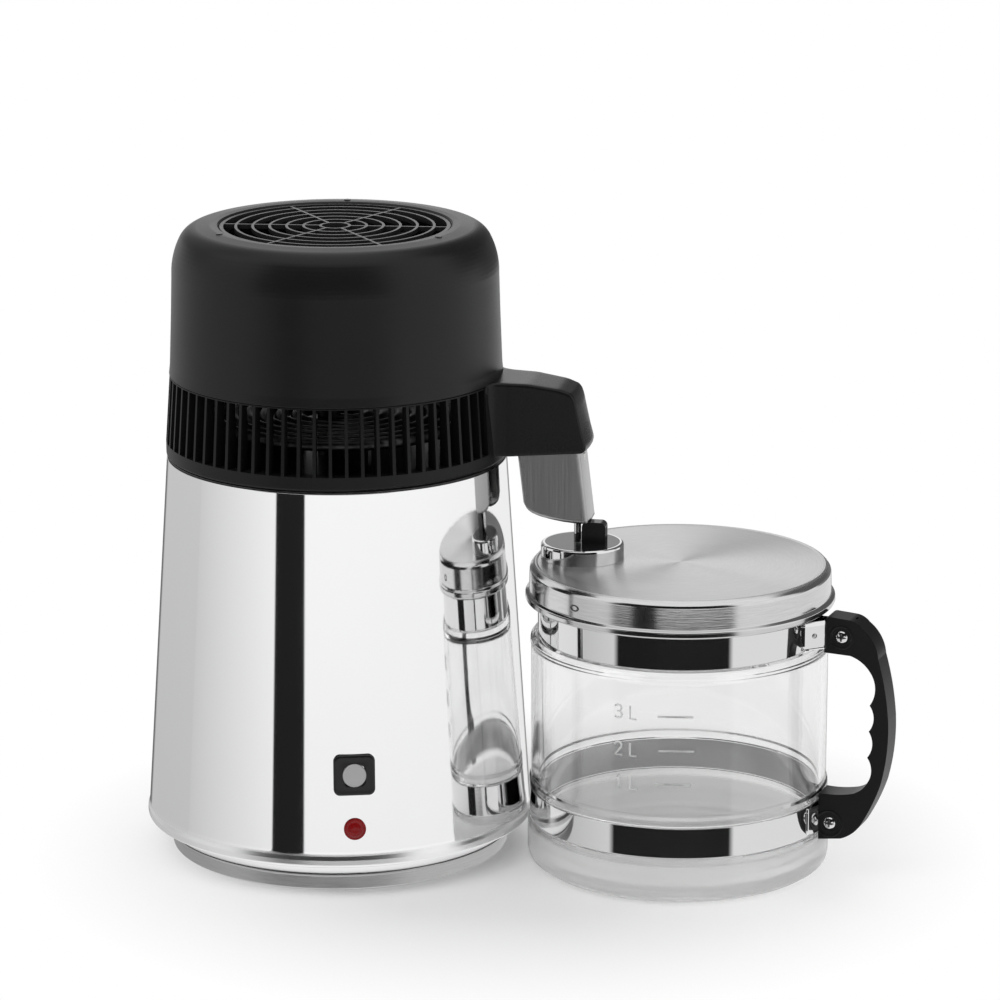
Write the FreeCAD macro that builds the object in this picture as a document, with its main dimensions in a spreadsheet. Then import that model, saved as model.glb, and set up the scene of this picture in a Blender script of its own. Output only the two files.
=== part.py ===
"""Countertop water distiller with its glass jug. Millimetres, +Z up.

The origin is the middle of the distiller's underside, on the table, and +X points from there to the jug.
A tapered steel body holds the boiler pot, a black head with fan and condenser stands on it, and an arm
on the head carries a steel hood over the drip cap of the jug's lid.
"""
import FreeCAD, Part
import math
import os
from types import SimpleNamespace

import Sketcher

Vector = FreeCAD.Vector
Rotation = FreeCAD.Rotation
Placement = FreeCAD.Placement
UP = Vector(0, 0, 1)

SIZES = {
    # steel body
    "sheet_wall": 0.8,
    "shell_low_radius": 109.6,
    "bead_rise": 6.0,
    "shell_top_radius": 96.1,
    "shell_top_height": 228.0,
    "lip_rise": 7.2,
    "bead_bend": 3.8,
    "lip_step": 5.4,
    "lip_width": 6.0,
    # foot of the body
    "foot_step": 1.8,
    "base_ring_wall": 3.0,
    "base_ring_height": 10.4,
    "base_ring_lift": 0.5,
    "cover_height": 3.0,
    "cover_gauge": 1.2,
    "pad_radius": 25.0,
    "foot_radius": 8.0,
    "foot_circle": 74.0,
    "screw_radius": 1.8,
    "screw_head_radius": 3.4,
    "hole_clearance": 0.3,
    # boiler
    "flange_width": 11.4,
    "pot_inset": 25.6,
    "pot_gauge": 1.0,
    "pot_bottom_height": 48.0,
    "pot_corner": 8.0,
    "flange_inset": 0.7,
    "heater_radius": 70.0,
    "heater_height": 5.0,
    "element_radius": 52.0,
    "element_thickness": 8.0,
    "clamp_length": 124.0,
    "clamp_width": 16.0,
    "clamp_gauge": 2.4,
    "stud_radius": 3.0,
    "thermostat_radius": 8.0,
    "fuse_radius": 3.0,
    # front panel
    "panel_azimuth": -73.0,
    "button_height": 71.0,
    "lamp_height": 40.2,
    "bezel_width": 23.0,
    "bezel_corner": 3.2,
    "bezel_proud": 1.7,
    "neck_width": 18.4,
    "neck_depth": 9.0,
    "button_radius": 6.5,
    "button_proud": 2.8,
    "button_clearance": 0.35,
    "plunger_radius": 2.5,
    "switch_depth": 9.0,
    "lens_radius": 6.15,
    "lens_proud": 2.6,
    "lamp_radius": 4.6,
    "lamp_depth": 15.0,
    # rear inlet
    "inlet_azimuth": 90.0,
    "inlet_height": 40.0,
    "inlet_width": 31.0,
    "inlet_tall": 24.0,
    "inlet_body_width": 27.0,
    "inlet_body_tall": 20.0,
    "inlet_wall": 1.8,
    "inlet_depth": 19.0,
    "inlet_floor": 4.5,
    "pin_length": 11.5,
    # vent ring
    "seat_gap": 0.3,
    "ring_overhang": 0.3,
    "ring_taper": 2.6,
    "ring_height": 46.0,
    "ring_wall": 7.9,
    "ledge_width": 1.9,
    "ledge_thickness": 2.2,
    "neck_wall": 1.9,
    "neck_height": 7.7,
    "slot_lift": 8.1,
    "slot_drop": 0.7,
    "slot_width": 7.0,
    # head cover
    "cover_taper": 2.3,
    "cover_rise": 57.7,
    "shoulder_step": 4.8,
    "shoulder_rise": 19.6,
    "crown_step": 10.5,
    "crown_rise": 6.6,
    "crown_lip": 0.8,
    "shoulder_bend": 42.4,
    "crown_bend": 12.4,
    "cover_wall": 2.6,
    "crown_width": 11.7,
    # grille
    "grille_thickness": 2.5,
    "grille_drop": 1.2,
    "ear_thickness": 2.0,
    "grille_bar": 1.5,
    "grille_rim": 0.1,
    "grille_steps": 6.0,
    "grille_hub": 8.2,
    "grille_screw_inset": 5.2,
    "grille_screw_head": 1.9,
    "grille_screw_length": 8.4,
    "grille_screw_recess": 0.9,
    "grille_head_height": 1.2,
    # arm and hood
    "arm_width": 37.0,
    "arm_lift": 5.3,
    "arm_height": 42.4,
    "arm_shoulder_inset": 14.4,
    "arm_shoulder_drop": 4.8,
    "arm_nose_inset": 4.9,
    "arm_nose_drop": 8.2,
    "arm_tip_reach": 14.4,
    "arm_tip_lift": 8.2,
    "arm_chin_inset": 3.5,
    "arm_nose_bend": 4.0,
    "arm_nose_radius": 106.0,
    "arm_flare_width": 54.0,
    "arm_flare_reach": 6.1,
    "arm_wall": 2.4,
    "hood_width": 33.0,
    "hood_back_reach": 10.3,
    "hood_nose_inset": 3.6,
    "hood_gauge": 0.9,
    "hood_corner": 4.0,
    "hood_nose_radius": 78.6,
    "hood_lean": 0.114,
    "hood_back_drop": 22.6,
    "hood_knee_reach": 7.4,
    "hood_knee_drop": 7.8,
    "hood_front_drop": 7.8,
    # steam path
    "pan_gauge": 1.2,
    "gasket_width": 2.7,
    "riser_radius": 6.5,
    "riser_wall": 1.2,
    "riser_height": 26.0,
    "tube_radius": 3.5,
    "coil_inner_radius": 20.0,
    "coil_turns": 6.0,
    "coil_margin": 14.5,
    "coil_lift": 22.7,
    "coil_offset": 10.0,
    "elbow_radius": 10.0,
    "support_gauge": 2.0,
    "support_inner": 16.0,
    "support_length": 52.0,
    "joint_inset": 3.4,
    "sleeve_length": 16.0,
    "sleeve_wall": 1.8,
    "cup_reach": 36.1,
    "cup_radius": 9.8,
    "cup_wall": 1.2,
    "cup_drop": 29.6,
    "nozzle_offset": 5.7,
    "nozzle_radius": 2.0,
    "nozzle_bore": 1.1,
    "nozzle_length": 22.2,
    "charcoal_height": 7.2,
    # fan
    "motor_radius": 26.0,
    "motor_height": 26.0,
    "bracket_drop": 38.0,
    "bracket_gauge": 3.0,
    "bracket_arm_width": 9.0,
    "motor_screw_radius": 1.4,
    "motor_screw_head": 2.6,
    "motor_screw_depth": 7.0,
    "motor_head_height": 1.6,
    "motor_screw_inset": 8.0,
    "shaft_radius": 2.5,
    "running_gap": 0.06,
    "fan_hub_radius": 19.0,
    "fan_hub_height": 20.0,
    "fan_radius": 60.0,
    "blade_chord": 24.0,
    "blade_gauge": 1.6,
    "blade_pitch": 35.0,
    # jug
    "jug_reach": 64.3,
    "glass_foot_radius": 85.4,
    "glass_foot_height": 24.6,
    "glass_foot_bend": 7.0,
    "glass_wall": 3.8,
    "glass_floor": 7.0,
    "glass_foot_step": 1.8,
    "glass_ridge": 1.0,
    "glass_neck_step": 4.8,
    "jug_drop": 94.6,
    "glass_rim_rise": 17.6,
    "glass_rim_step": 2.0,
    "band_gauge": 0.7,
    "low_band_step": 1.2,
    "low_band_lift": 2.6,
    "low_band_width": 17.1,
    "high_band_step": 1.0,
    "high_band_lift": 0.6,
    "high_band_width": 18.2,
    "tab_gauge": 3.0,
    "tab_length": 16.4,
    # handle
    "handle_azimuth": -11.0,
    "handle_width": 15.0,
    "handle_depth": 37.8,
    "handle_gap": 7.8,
    "high_screw_inset": 9.8,
    "high_screw_lift": 8.2,
    "low_screw_inset": 4.8,
    "low_screw_lift": 6.1,
    "handle_screw_radius": 2.0,
    "handle_screw_head": 3.3,
    "handle_recess": 2.6,
    # lid
    "lid_rise": 4.7,
    "lid_overhang": 3.8,
    "lid_edge_bend": 3.2,
    "lid_dish": 0.5,
    "lid_step": 1.6,
    "rim_step": 1.0,
    "skirt_height": 16.9,
    "rim_height": 4.0,
    "rim_bend": 2.1,
    "lid_seal_width": 5.4,
    "cap_offset": 8.5,
    "cap_radius": 23.4,
    "cap_height": 9.0,
    "cap_edge": 1.5,
    "inlet_block_offset": 15.4,
    "inlet_block_length": 13.4,
    "inlet_block_width": 8.0,
    "inlet_block_height": 12.2,
    "inlet_block_corner": 3.0,
    "drip_bore": 2.2,
    "spigot_radius": 5.0,
    "spigot_length": 14.0,
}
# sizes that follow from others, as the formulas of the sheet
LINKED = {
    "lip_outer_radius": "shell_low_radius - lip_step",
    "lip_inner_radius": "lip_outer_radius - lip_width",
    "base_ring_radius": "lip_inner_radius - foot_step",
    "bead_bottom_height": "base_ring_height + lip_rise",
    "shell_low_height": "bead_bottom_height + bead_rise",
    "pot_flange_radius": "shell_top_radius - flange_inset",
    "pot_radius": "min(pot_flange_radius - flange_width; shell_low_radius - pot_inset)",
    "ring_low_radius": "shell_top_radius + ring_overhang",
    "ring_high_radius": "ring_low_radius - ring_taper",
    "ring_bore": "ring_low_radius - ring_wall",
    "ledge_bore": "ring_bore - ledge_width",
    "neck_radius": "ring_bore + neck_wall",
    "cup_x": "ring_low_radius + cup_reach",
    "arm_tip_x": "cup_x + arm_tip_reach",
    "arm_shoulder_x": "arm_tip_x - arm_shoulder_inset",
    "arm_nose_top_x": "arm_tip_x - arm_nose_inset",
    "arm_chin_x": "arm_tip_x - arm_chin_inset",
    "arm_flare_x": "ring_low_radius + arm_flare_reach",
    "hood_back_x": "ring_low_radius + hood_back_reach",
    "hood_nose_x": "arm_tip_x - hood_nose_inset",
    "hood_knee_x": "hood_back_x + hood_knee_reach",
    "joint_x": "ring_low_radius - joint_inset",
    "glass_body_radius": "glass_foot_radius - glass_foot_step",
    "glass_neck_radius": "glass_body_radius - glass_neck_step",
    "glass_rim_radius": "glass_neck_radius + glass_rim_step",
    "low_band_radius": "glass_foot_radius - low_band_step",
    "low_band_bottom": "glass_foot_height + low_band_lift",
    "low_band_top": "low_band_bottom + low_band_width",
    "high_band_radius": "glass_neck_radius + high_band_step",
    "glass_shoulder_height": "shell_top_height - jug_drop",
    "high_band_bottom": "glass_shoulder_height + high_band_lift",
    "high_band_top": "high_band_bottom + high_band_width",
    "glass_rim_height": "high_band_top + glass_rim_rise",
    "handle_root": "high_band_radius + handle_gap",
    "tab_reach": "handle_root + tab_length",
    "high_screw_reach": "handle_root + high_screw_inset",
    "high_screw_height": "high_band_bottom + high_screw_lift",
    "low_screw_reach": "handle_root + low_screw_inset",
    "low_screw_height": "low_band_bottom + low_screw_lift",
    "lid_top_height": "glass_rim_height + lid_rise",
    "lid_radius": "glass_rim_radius + lid_overhang",
    "rim_radius": "lid_radius + rim_step",
    "rim_top_height": "lid_top_height - skirt_height",
    "rim_bottom_height": "rim_top_height - rim_height",
    "jug_x": "cup_x + jug_reach",
    "cap_x": "cup_x + cap_offset",
    "inlet_block_x": "cup_x + inlet_block_offset",
    "spigot_x": "cup_x + nozzle_offset",
    "ring_bottom_height": "shell_top_height + pot_gauge + seat_gap",
    "ring_top_height": "ring_bottom_height + ring_height",
    "slot_bottom_height": "ring_bottom_height + slot_lift",
    "slot_top_height": "ring_top_height - slot_drop",
    "cover_side_height": "ring_top_height + cover_rise",
    "shoulder_height": "cover_side_height + shoulder_rise",
    "crown_height": "shoulder_height + crown_rise",
    "head_top_height": "crown_height + crown_lip",
    "arm_bottom_height": "ring_bottom_height + arm_lift",
    "arm_top_height": "arm_bottom_height + arm_height",
    "arm_shoulder_height": "arm_top_height - arm_shoulder_drop",
    "arm_nose_top_height": "arm_shoulder_height - arm_nose_drop",
    "arm_tip_height": "arm_bottom_height + arm_tip_lift",
    "hood_back_height": "arm_bottom_height - hood_back_drop",
    "hood_knee_height": "hood_back_height - hood_knee_drop",
    "hood_front_height": "hood_knee_height - hood_front_drop",
    "coil_height": "ring_bottom_height + coil_lift",
    "cup_bottom_height": "arm_bottom_height - cup_drop",
    "bracket_height": "head_top_height - bracket_drop",
    "cover_low_radius": "ring_high_radius + seat_gap",
    "cover_side_radius": "cover_low_radius - cover_taper",
    "shoulder_radius": "cover_side_radius - shoulder_step",
    "crown_radius": "shoulder_radius - crown_step",
    "opening_radius": "crown_radius - crown_width",
    "grille_screw_circle": "opening_radius + grille_screw_inset",
    "grille_pitch": "(opening_radius - grille_hub + grille_rim) / grille_steps",
    "pan_radius": "ring_bore - hole_clearance",
    "coil_pitch": "(ring_bore - coil_margin - coil_inner_radius) / coil_turns",
}
SLOT_COUNT = 68
SLOTS_BEHIND_ARM = 6
FOOT_COUNT = 4
SPOKE_COUNT = 6
SPOKE_AZIMUTH = 6.5
GRILLE_SCREW_COUNT = 3
GRILLE_SCREW_AZIMUTH = 97.0
SUPPORT_AZIMUTHS = (60, 180, 300)
BRACKET_AZIMUTHS = (90, 210, 330)
BLADE_COUNT = 7
# the handle's side view as shares: reach and bulge of its depth, height of the way between the bands
HANDLE_OUTLINE = (
    (0.0000, 0.9860, 0.0000),
    (0.3973, 0.9822, 0.5333),
    (0.7093, 0.9045, 0.4400),
    (0.7120, 0.7257, 0.3280),
    (0.7067, 0.5843, 0.3413),
    (0.6907, 0.4419, 0.3387),
    (0.7013, 0.3052, 0.3920),
    (0.4427, 0.2313, 1.6000),
    (-0.0400, 0.2182, 0.0000),
    (-0.0400, -0.0356, 0.0000),
    (0.3013, -0.0197, -0.5867),
    (0.6053, 0.0655, -3.2000),
    (0.9013, 0.2968, -3.3067),
    (1.0000, 0.6554, -4.4267),
    (0.8300, 0.9790, -0.6200),
    (0.5733, 1.1367, -0.2933),
    (0.3840, 1.1732, 0.0000),
    (0.0800, 1.1807, -0.0800),
    (0.0000, 1.1629, 0.0000),
)

doc = FreeCAD.newDocument("WaterDistiller")
sheet = doc.addObject("Spreadsheet::Sheet", "Sizes")
nodes = []


# ---------------------------------------------------------------- sizes as values with their expressions
def number(amount):
    """The plain value of a size or number."""
    return amount.value if isinstance(amount, Size) else float(amount)


def words(amount):
    """The expression text of a size or number."""
    return amount.words if isinstance(amount, Size) else f"{amount:.6f}"


class Size:
    """A value together with the expression over the sheet's words that gives it."""

    def __init__(self, value, text):
        self.value = value
        self.words = text

    def __add__(self, other):
        return Size(self.value + number(other), f"({self.words} + {words(other)})")

    def __sub__(self, other):
        return Size(self.value - number(other), f"({self.words} - {words(other)})")

    def __mul__(self, other):
        return Size(self.value * number(other), f"({self.words} * {words(other)})")

    def __truediv__(self, other):
        return Size(self.value / number(other), f"({self.words} / {words(other)})")

    def __radd__(self, other):
        return Size(number(other) + self.value, f"({words(other)} + {self.words})")

    def __rsub__(self, other):
        return Size(number(other) - self.value, f"({words(other)} - {self.words})")

    def __rmul__(self, other):
        return Size(number(other) * self.value, f"({words(other)} * {self.words})")

    def __neg__(self):
        return Size(-self.value, f"(0 - {self.words})")


for row, (word, amount) in enumerate((SIZES | LINKED).items(), start=1):
    sheet.set(f"A{row}", word)
    sheet.set(f"B{row}", f"={amount}" if word in LINKED else str(amount))
    sheet.setAlias(f"B{row}", word)
doc.recompute()
d = SimpleNamespace(**{word: Size(float(sheet.get(word)), f"Sizes.{word}") for word in SIZES | LINKED})


def bind(thing, path, amount):
    """Ties one property of a document object to the sheet."""
    if isinstance(amount, Size):
        thing.setExpression(path, amount.words)
    else:
        setattr(thing, path, amount)


# ---------------------------------------------------------------- building blocks
def node(thing, label):
    """Marks a document object as a finished sub-part."""
    thing.Label = label
    nodes.append(thing)
    return thing


def place(thing, x=0, y=0, z=0, turn=Rotation()):
    """Sets an object's place, each coordinate tied to the sheet where it comes from there."""
    thing.Placement = Placement(Vector(number(x), number(y), number(z)), turn)
    for axis, amount in (("x", x), ("y", y), ("z", z)):
        if isinstance(amount, Size):
            thing.setExpression(f"Placement.Base.{axis}", amount.words)
    return thing


def spin(azimuth):
    """A turn about the vertical."""
    return Rotation(UP, number(azimuth))


def cylinder(radius, height, x=0, y=0, z=0, along=UP):
    thing = doc.addObject("Part::Cylinder", "Cylinder")
    bind(thing, "Radius", radius)
    bind(thing, "Height", height)
    return place(thing, x, y, z, Rotation(UP, Vector(along)))


def cone(low_radius, high_radius, height, z=0):
    thing = doc.addObject("Part::Cone", "Cone")
    bind(thing, "Radius1", low_radius)
    bind(thing, "Radius2", high_radius)
    bind(thing, "Height", height)
    return place(thing, z=z)


def box(length, width, height, x=0, y=0, z=0, turn=Rotation()):
    thing = doc.addObject("Part::Box", "Box")
    bind(thing, "Length", length)
    bind(thing, "Width", width)
    bind(thing, "Height", height)
    return place(thing, x, y, z, turn)


def bend(path_radius, tube_radius, sweep, x, y, z, turn):
    """A piece of round tube bent about the local Z axis, from local +X through the sweep."""
    thing = doc.addObject("Part::Torus", "Bend")
    bind(thing, "Radius1", path_radius)
    bind(thing, "Radius2", tube_radius)
    thing.Angle3 = sweep
    return place(thing, x, y, z, turn)


def hexagon(across_corners, height, x=0, y=0, z=0, along=UP):
    thing = doc.addObject("Part::Prism", "Hexagon")
    thing.Polygon = 6
    bind(thing, "Circumradius", across_corners / 2)
    bind(thing, "Height", height)
    return place(thing, x, y, z, Rotation(UP, Vector(along)))


def fuse(*parts):
    thing = doc.addObject("Part::MultiFuse", "Fusion")
    thing.Shapes = list(parts)
    return thing


def group(*parts):
    thing = doc.addObject("Part::Compound", "Group")
    thing.Links = list(parts)
    return thing


def cut(base, *tools):
    thing = doc.addObject("Part::Cut", "Cut")
    thing.Base = base
    thing.Tool = tools[0] if len(tools) == 1 else group(*tools)
    return thing


def common(first, second):
    thing = doc.addObject("Part::Common", "Common")
    thing.Base = first
    thing.Tool = second
    return thing


def tube(bore, radius, height, x=0, y=0, z=0, along=UP):
    return cut(cylinder(radius, height, x, y, z, along), cylinder(bore, height, x, y, z, along))


# ---------------------------------------------------------------- sketches
def arc_between(start, end, bulge):
    """The minor arc from start to end; a positive bulge lies to the left of the way, a negative one right."""
    chord = end - start
    half = chord.Length / 2
    radius = abs(bulge)
    side = 1 if bulge > 0 else -1
    left = Vector(-chord.y, chord.x, 0).normalize()
    centre = start + chord * 0.5 - left * side * math.sqrt(max(radius ** 2 - half ** 2, 0))
    first, last = (end, start) if side > 0 else (start, end)
    angles = [math.atan2(point.y - centre.y, point.x - centre.x) for point in (first, last)]
    if angles[1] < angles[0]:
        angles[1] += 2 * math.pi
    return Part.ArcOfCircle(Part.Circle(centre, UP, radius), angles[0], angles[1])


def hold(sketch, kind, edge, point, amount):
    """Pins one coordinate of an edge's end, tied to the sheet."""
    axis = {"DistanceX": -2, "DistanceY": -1}[kind]
    if abs(number(amount)) < 1e-9:
        sketch.addConstraint(Sketcher.Constraint("PointOnObject", edge, point, axis))
        return
    ends = (-1, 1, edge, point)
    if number(amount) < 0:
        ends = (edge, point, -1, 1)
        amount = -amount
    index = sketch.addConstraint(Sketcher.Constraint(kind, *ends, number(amount)))
    if isinstance(amount, Size):
        sketch.setExpression(f"Constraints[{index}]", amount.words)


def loop(sketch, corners):
    """Closes an outline through the corners; a third item makes the edge to the next corner an arc."""
    points = [Vector(number(corner[0]), number(corner[1]), 0) for corner in corners]
    count = len(corners)
    first_edge = sketch.GeometryCount
    edges = []
    starts = []
    for index, corner in enumerate(corners):
        start, end = points[index], points[(index + 1) % count]
        if len(corner) == 3:
            edges.append(arc_between(start, end, number(corner[2])))
            starts.append(2 if number(corner[2]) > 0 else 1)
        else:
            edges.append(Part.LineSegment(start, end))
            starts.append(1)
    sketch.addGeometry(edges, False)
    for index, corner in enumerate(corners):
        before = (index - 1) % count
        joint = (first_edge + before, 3 - starts[before], first_edge + index, starts[index])
        sketch.addConstraint(Sketcher.Constraint("Coincident", *joint))
        hold(sketch, "DistanceX", first_edge + index, starts[index], corner[0])
        hold(sketch, "DistanceY", first_edge + index, starts[index], corner[1])
        if len(corner) == 3:
            radius = corner[2] if number(corner[2]) > 0 else -corner[2]
            rule = Sketcher.Constraint("Radius", first_edge + index, number(radius))
            position = sketch.addConstraint(rule)
            if isinstance(radius, Size):
                sketch.setExpression(f"Constraints[{position}]", radius.words)


def new_body(name):
    return doc.addObject("PartDesign::Body", name)


def sketch_on(body, plane, corners, height=None):
    """A closed outline on one of the body's origin planes, raised along that plane's normal."""
    sketch = body.newObject("Sketcher::SketchObject", "Outline")
    support = [item for item in body.Origin.OriginFeatures if item.Role == plane][0]
    sketch.AttachmentSupport = [(support, "")]
    sketch.MapMode = "FlatFace"
    if height is not None:
        sketch.AttachmentOffset = Placement(Vector(0, 0, number(height)), Rotation())
        if isinstance(height, Size):
            sketch.setExpression("AttachmentOffset.Base.z", height.words)
    loop(sketch, corners)
    return sketch


def turned(name, corners):
    """A body made by turning an outline of (radius, height) corners about its vertical axis."""
    body = new_body(name)
    sketch = sketch_on(body, "XZ_Plane", corners)
    feature = body.newObject("PartDesign::Revolution", "Turned")
    feature.Profile = sketch
    feature.ReferenceAxis = (sketch, ["V_Axis"])
    feature.Angle = 360
    return body


def pad(name, plane, corners, length, height=None, both_ways=False):
    body = new_body(name)
    feature = body.newObject("PartDesign::Pad", "Pad")
    feature.Profile = sketch_on(body, plane, corners, height)
    feature.SideType = "Symmetric" if both_ways else "One side"
    bind(feature, "Length", length)
    return body


def rounded_rectangle(width, tall, corner):
    """Corners of an upright rectangle about the origin with rounded corners, anticlockwise."""
    right, top = width / 2, tall / 2
    inner_right, inner_top = right - corner, top - corner
    turn = -corner
    return [
        (-inner_right, -top), (inner_right, -top, turn), (right, -inner_top), (right, inner_top, turn),
        (inner_right, top), (-inner_right, top, turn), (-right, inner_top), (-right, -inner_top, turn),
    ]


def rounded_block(name, width, tall, corner, low, high):
    return pad(name, "XY_Plane", rounded_rectangle(width, tall, corner), high - low, low)


# ---------------------------------------------------------------- the tapered side of the steel body
SIDE_SLOPE = (d.shell_low_radius - d.shell_top_radius) / (d.shell_top_height - d.shell_low_height)


def side_radius(height):
    """The steel body's outer radius at a height on its tapered side."""
    return d.shell_low_radius - SIDE_SLOPE * (height - d.shell_low_height)


def side_frame(azimuth, height):
    """A place on the tapered side: local Z points straight out, local X runs round, local Y up."""
    lean = math.atan(SIDE_SLOPE.value)
    angle = math.radians(number(azimuth))
    out = Vector(math.cos(angle) * math.cos(lean), math.sin(angle) * math.cos(lean), math.sin(lean))
    across = Vector(-math.sin(angle), math.cos(angle), 0)
    radius = side_radius(height).value
    base = Vector(radius * math.cos(angle), radius * math.sin(angle), number(height))
    return Placement(base, Rotation(across, out.cross(across), out, "ZXY"))


def seat(thing, frame):
    """Moves an object that was made about the origin onto a place of the tapered side."""
    for axis in "xyz":
        thing.setExpression(f"Placement.Base.{axis}", None)
    thing.Placement = frame * thing.Placement
    return thing


def side_cone():
    """The solid inside the tapered side, for trimming what lies on it."""
    height = d.shell_top_height - d.shell_low_height
    return cone(d.shell_low_radius, d.shell_top_radius, height, d.shell_low_height)


BUTTON_FRAME = side_frame(d.panel_azimuth, d.button_height)
LAMP_FRAME = side_frame(d.panel_azimuth, d.lamp_height)
INLET_FRAME = side_frame(d.inlet_azimuth, d.inlet_height)


def make_shell():
    wall = d.sheet_wall
    low_inside = d.shell_low_radius - wall
    shell = turned("ShellSheet", [
        (d.lip_inner_radius, d.base_ring_height),
        (d.lip_outer_radius, d.bead_bottom_height - wall),
        (d.shell_low_radius - 1.0, d.bead_bottom_height, -d.bead_bend),
        (d.shell_low_radius, d.shell_low_height),
        (d.shell_top_radius, d.shell_top_height),
        (d.shell_top_radius - wall, d.shell_top_height),
        (low_inside, d.shell_low_height),
        (low_inside, d.bead_bottom_height + wall),
        (d.lip_outer_radius - wall / 2, d.bead_bottom_height),
        (d.lip_inner_radius - wall, d.base_ring_height + wall),
    ])
    play = 2 * d.hole_clearance
    neck = seat(rounded_block("NeckHole", d.neck_width + play, d.neck_width + play, d.bezel_corner,
                              -4 * wall, 4 * wall), BUTTON_FRAME)
    lamp = seat(cylinder(d.lamp_radius + d.hole_clearance, 8 * wall, z=-4 * wall), LAMP_FRAME)
    inlet = seat(rounded_block("InletHole", d.inlet_body_width + play, d.inlet_body_tall + play, d.inlet_wall,
                               -4 * wall, 4 * wall), INLET_FRAME)
    return node(cut(shell, neck, lamp, inlet), "outer_shell")


def make_foot():
    top = d.cover_height + d.cover_gauge
    ring_bore = d.base_ring_radius - d.base_ring_wall
    ledge_bore = ring_bore - 5.0
    node(turned("BaseRing", [
        (ring_bore, d.base_ring_lift),
        (d.base_ring_radius, d.base_ring_lift),
        (d.base_ring_radius, d.base_ring_height - d.cover_gauge),
        (d.lip_inner_radius + d.sheet_wall, d.base_ring_height),
        (ring_bore - d.cover_gauge, d.base_ring_height),
        (ring_bore - d.cover_gauge, top + d.cover_gauge),
        (ledge_bore, top + d.cover_gauge),
        (ledge_bore, top),
        (ring_bore, top),
    ]), "base_ring")
    slant = 2 * d.cover_height
    plate = turned("BasePlate", [
        (0, 0),
        (d.pad_radius, 0),
        (d.pad_radius + slant, d.cover_height),
        (ring_bore - d.hole_clearance, d.cover_height),
        (ring_bore - d.hole_clearance, top),
        (d.pad_radius + slant - d.cover_gauge / 2, top),
        (d.pad_radius - d.cover_gauge / 2, d.cover_gauge),
        (0, d.cover_gauge),
    ])
    feet, screws, holes = [], [], []
    for index in range(FOOT_COUNT):
        angle = 2 * math.pi * (index + 0.5) / FOOT_COUNT
        x, y = d.foot_circle * math.cos(angle), d.foot_circle * math.sin(angle)
        shank_hole = d.screw_radius + d.hole_clearance
        head_hole = d.screw_head_radius + d.hole_clearance
        foot = cylinder(d.foot_radius, d.cover_height, x, y)
        feet.append(cut(foot, cylinder(shank_hole, d.cover_height, x, y),
                        cylinder(head_hole, d.cover_height / 2, x, y)))
        head = cylinder(d.screw_head_radius, d.cover_gauge, x, y, d.hole_clearance)
        shank = cylinder(d.screw_radius, 2 * top - d.hole_clearance, x, y, d.hole_clearance)
        screws.append(fuse(head, shank))
        holes.append(cylinder(shank_hole, 3 * d.cover_gauge, x, y, d.cover_height - d.cover_gauge))
    node(cut(plate, *holes), "base_cover")
    node(group(*feet), "rubber_feet")
    node(group(*screws), "base_screws")


def make_boiler():
    gauge = d.pot_gauge
    bore = d.pot_radius - gauge
    bottom = d.pot_bottom_height
    inner_corner = d.pot_corner - gauge
    node(turned("Pot", [
        (0, bottom),
        (d.pot_radius - d.pot_corner, bottom, -d.pot_corner),
        (d.pot_radius, bottom + d.pot_corner),
        (d.pot_radius, d.shell_top_height),
        (d.pot_flange_radius, d.shell_top_height),
        (d.pot_flange_radius, d.shell_top_height + gauge),
        (bore, d.shell_top_height + gauge),
        (bore, bottom + d.pot_corner, inner_corner),
        (bore - inner_corner, bottom + gauge),
        (0, bottom + gauge),
    ]), "boiler_pot")
    plate_bottom = bottom - d.heater_height
    element_bottom = plate_bottom - d.element_thickness
    clamp_bottom = element_bottom - d.clamp_gauge
    nut_height = 5.0
    stud_bottom = clamp_bottom - nut_height - d.clamp_gauge
    plate = cylinder(d.heater_radius, d.heater_height, z=plate_bottom)
    stud = cylinder(d.stud_radius, plate_bottom - stud_bottom, z=stud_bottom)
    node(fuse(plate, stud), "heater_plate")
    half = d.element_thickness / 2
    ring = bend(d.element_radius, half, 330, 0, 0, plate_bottom - half, spin(105))
    ends = []
    pin_length = 2 * d.element_thickness
    for azimuth in (105, 75):
        angle = math.radians(azimuth)
        x, y = d.element_radius * math.cos(angle), d.element_radius * math.sin(angle)
        ends.append(cylinder(half + 1.2, d.element_thickness, x, y, plate_bottom - half * 2 - 0.6))
        ends.append(cylinder(half / 2, pin_length, x, y, plate_bottom - half - pin_length))
    node(fuse(ring, *ends), "heating_element")
    bar = box(d.clamp_length, d.clamp_width, d.clamp_gauge,
              -d.clamp_length / 2, -d.clamp_width / 2, clamp_bottom)
    node(cut(bar, cylinder(d.stud_radius + d.hole_clearance, d.clamp_gauge, z=clamp_bottom)), "heater_clamp")
    nut = hexagon(4 * d.stud_radius, nut_height, z=clamp_bottom - nut_height)
    node(cut(nut, cylinder(d.stud_radius, nut_height, z=clamp_bottom - nut_height)), "clamp_nut")
    side = d.element_radius / 2
    thickness = d.element_thickness
    node(cylinder(d.thermostat_radius, thickness, side, side, plate_bottom - thickness), "thermostat")
    fuse_height = plate_bottom - d.fuse_radius
    radius = d.fuse_radius
    fuse_body = cylinder(radius, 6 * radius, -side - 3 * radius, side, fuse_height, (1, 0, 0))
    leads = cylinder(radius / 4, 8 * radius, -side - 4 * radius, side, fuse_height, (1, 0, 0))
    node(fuse(fuse_body, leads), "thermal_fuse")
    block_top = d.cover_height + d.cover_gauge
    node(box(40, 16, 14, -50, -52, block_top), "terminal_block")


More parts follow.
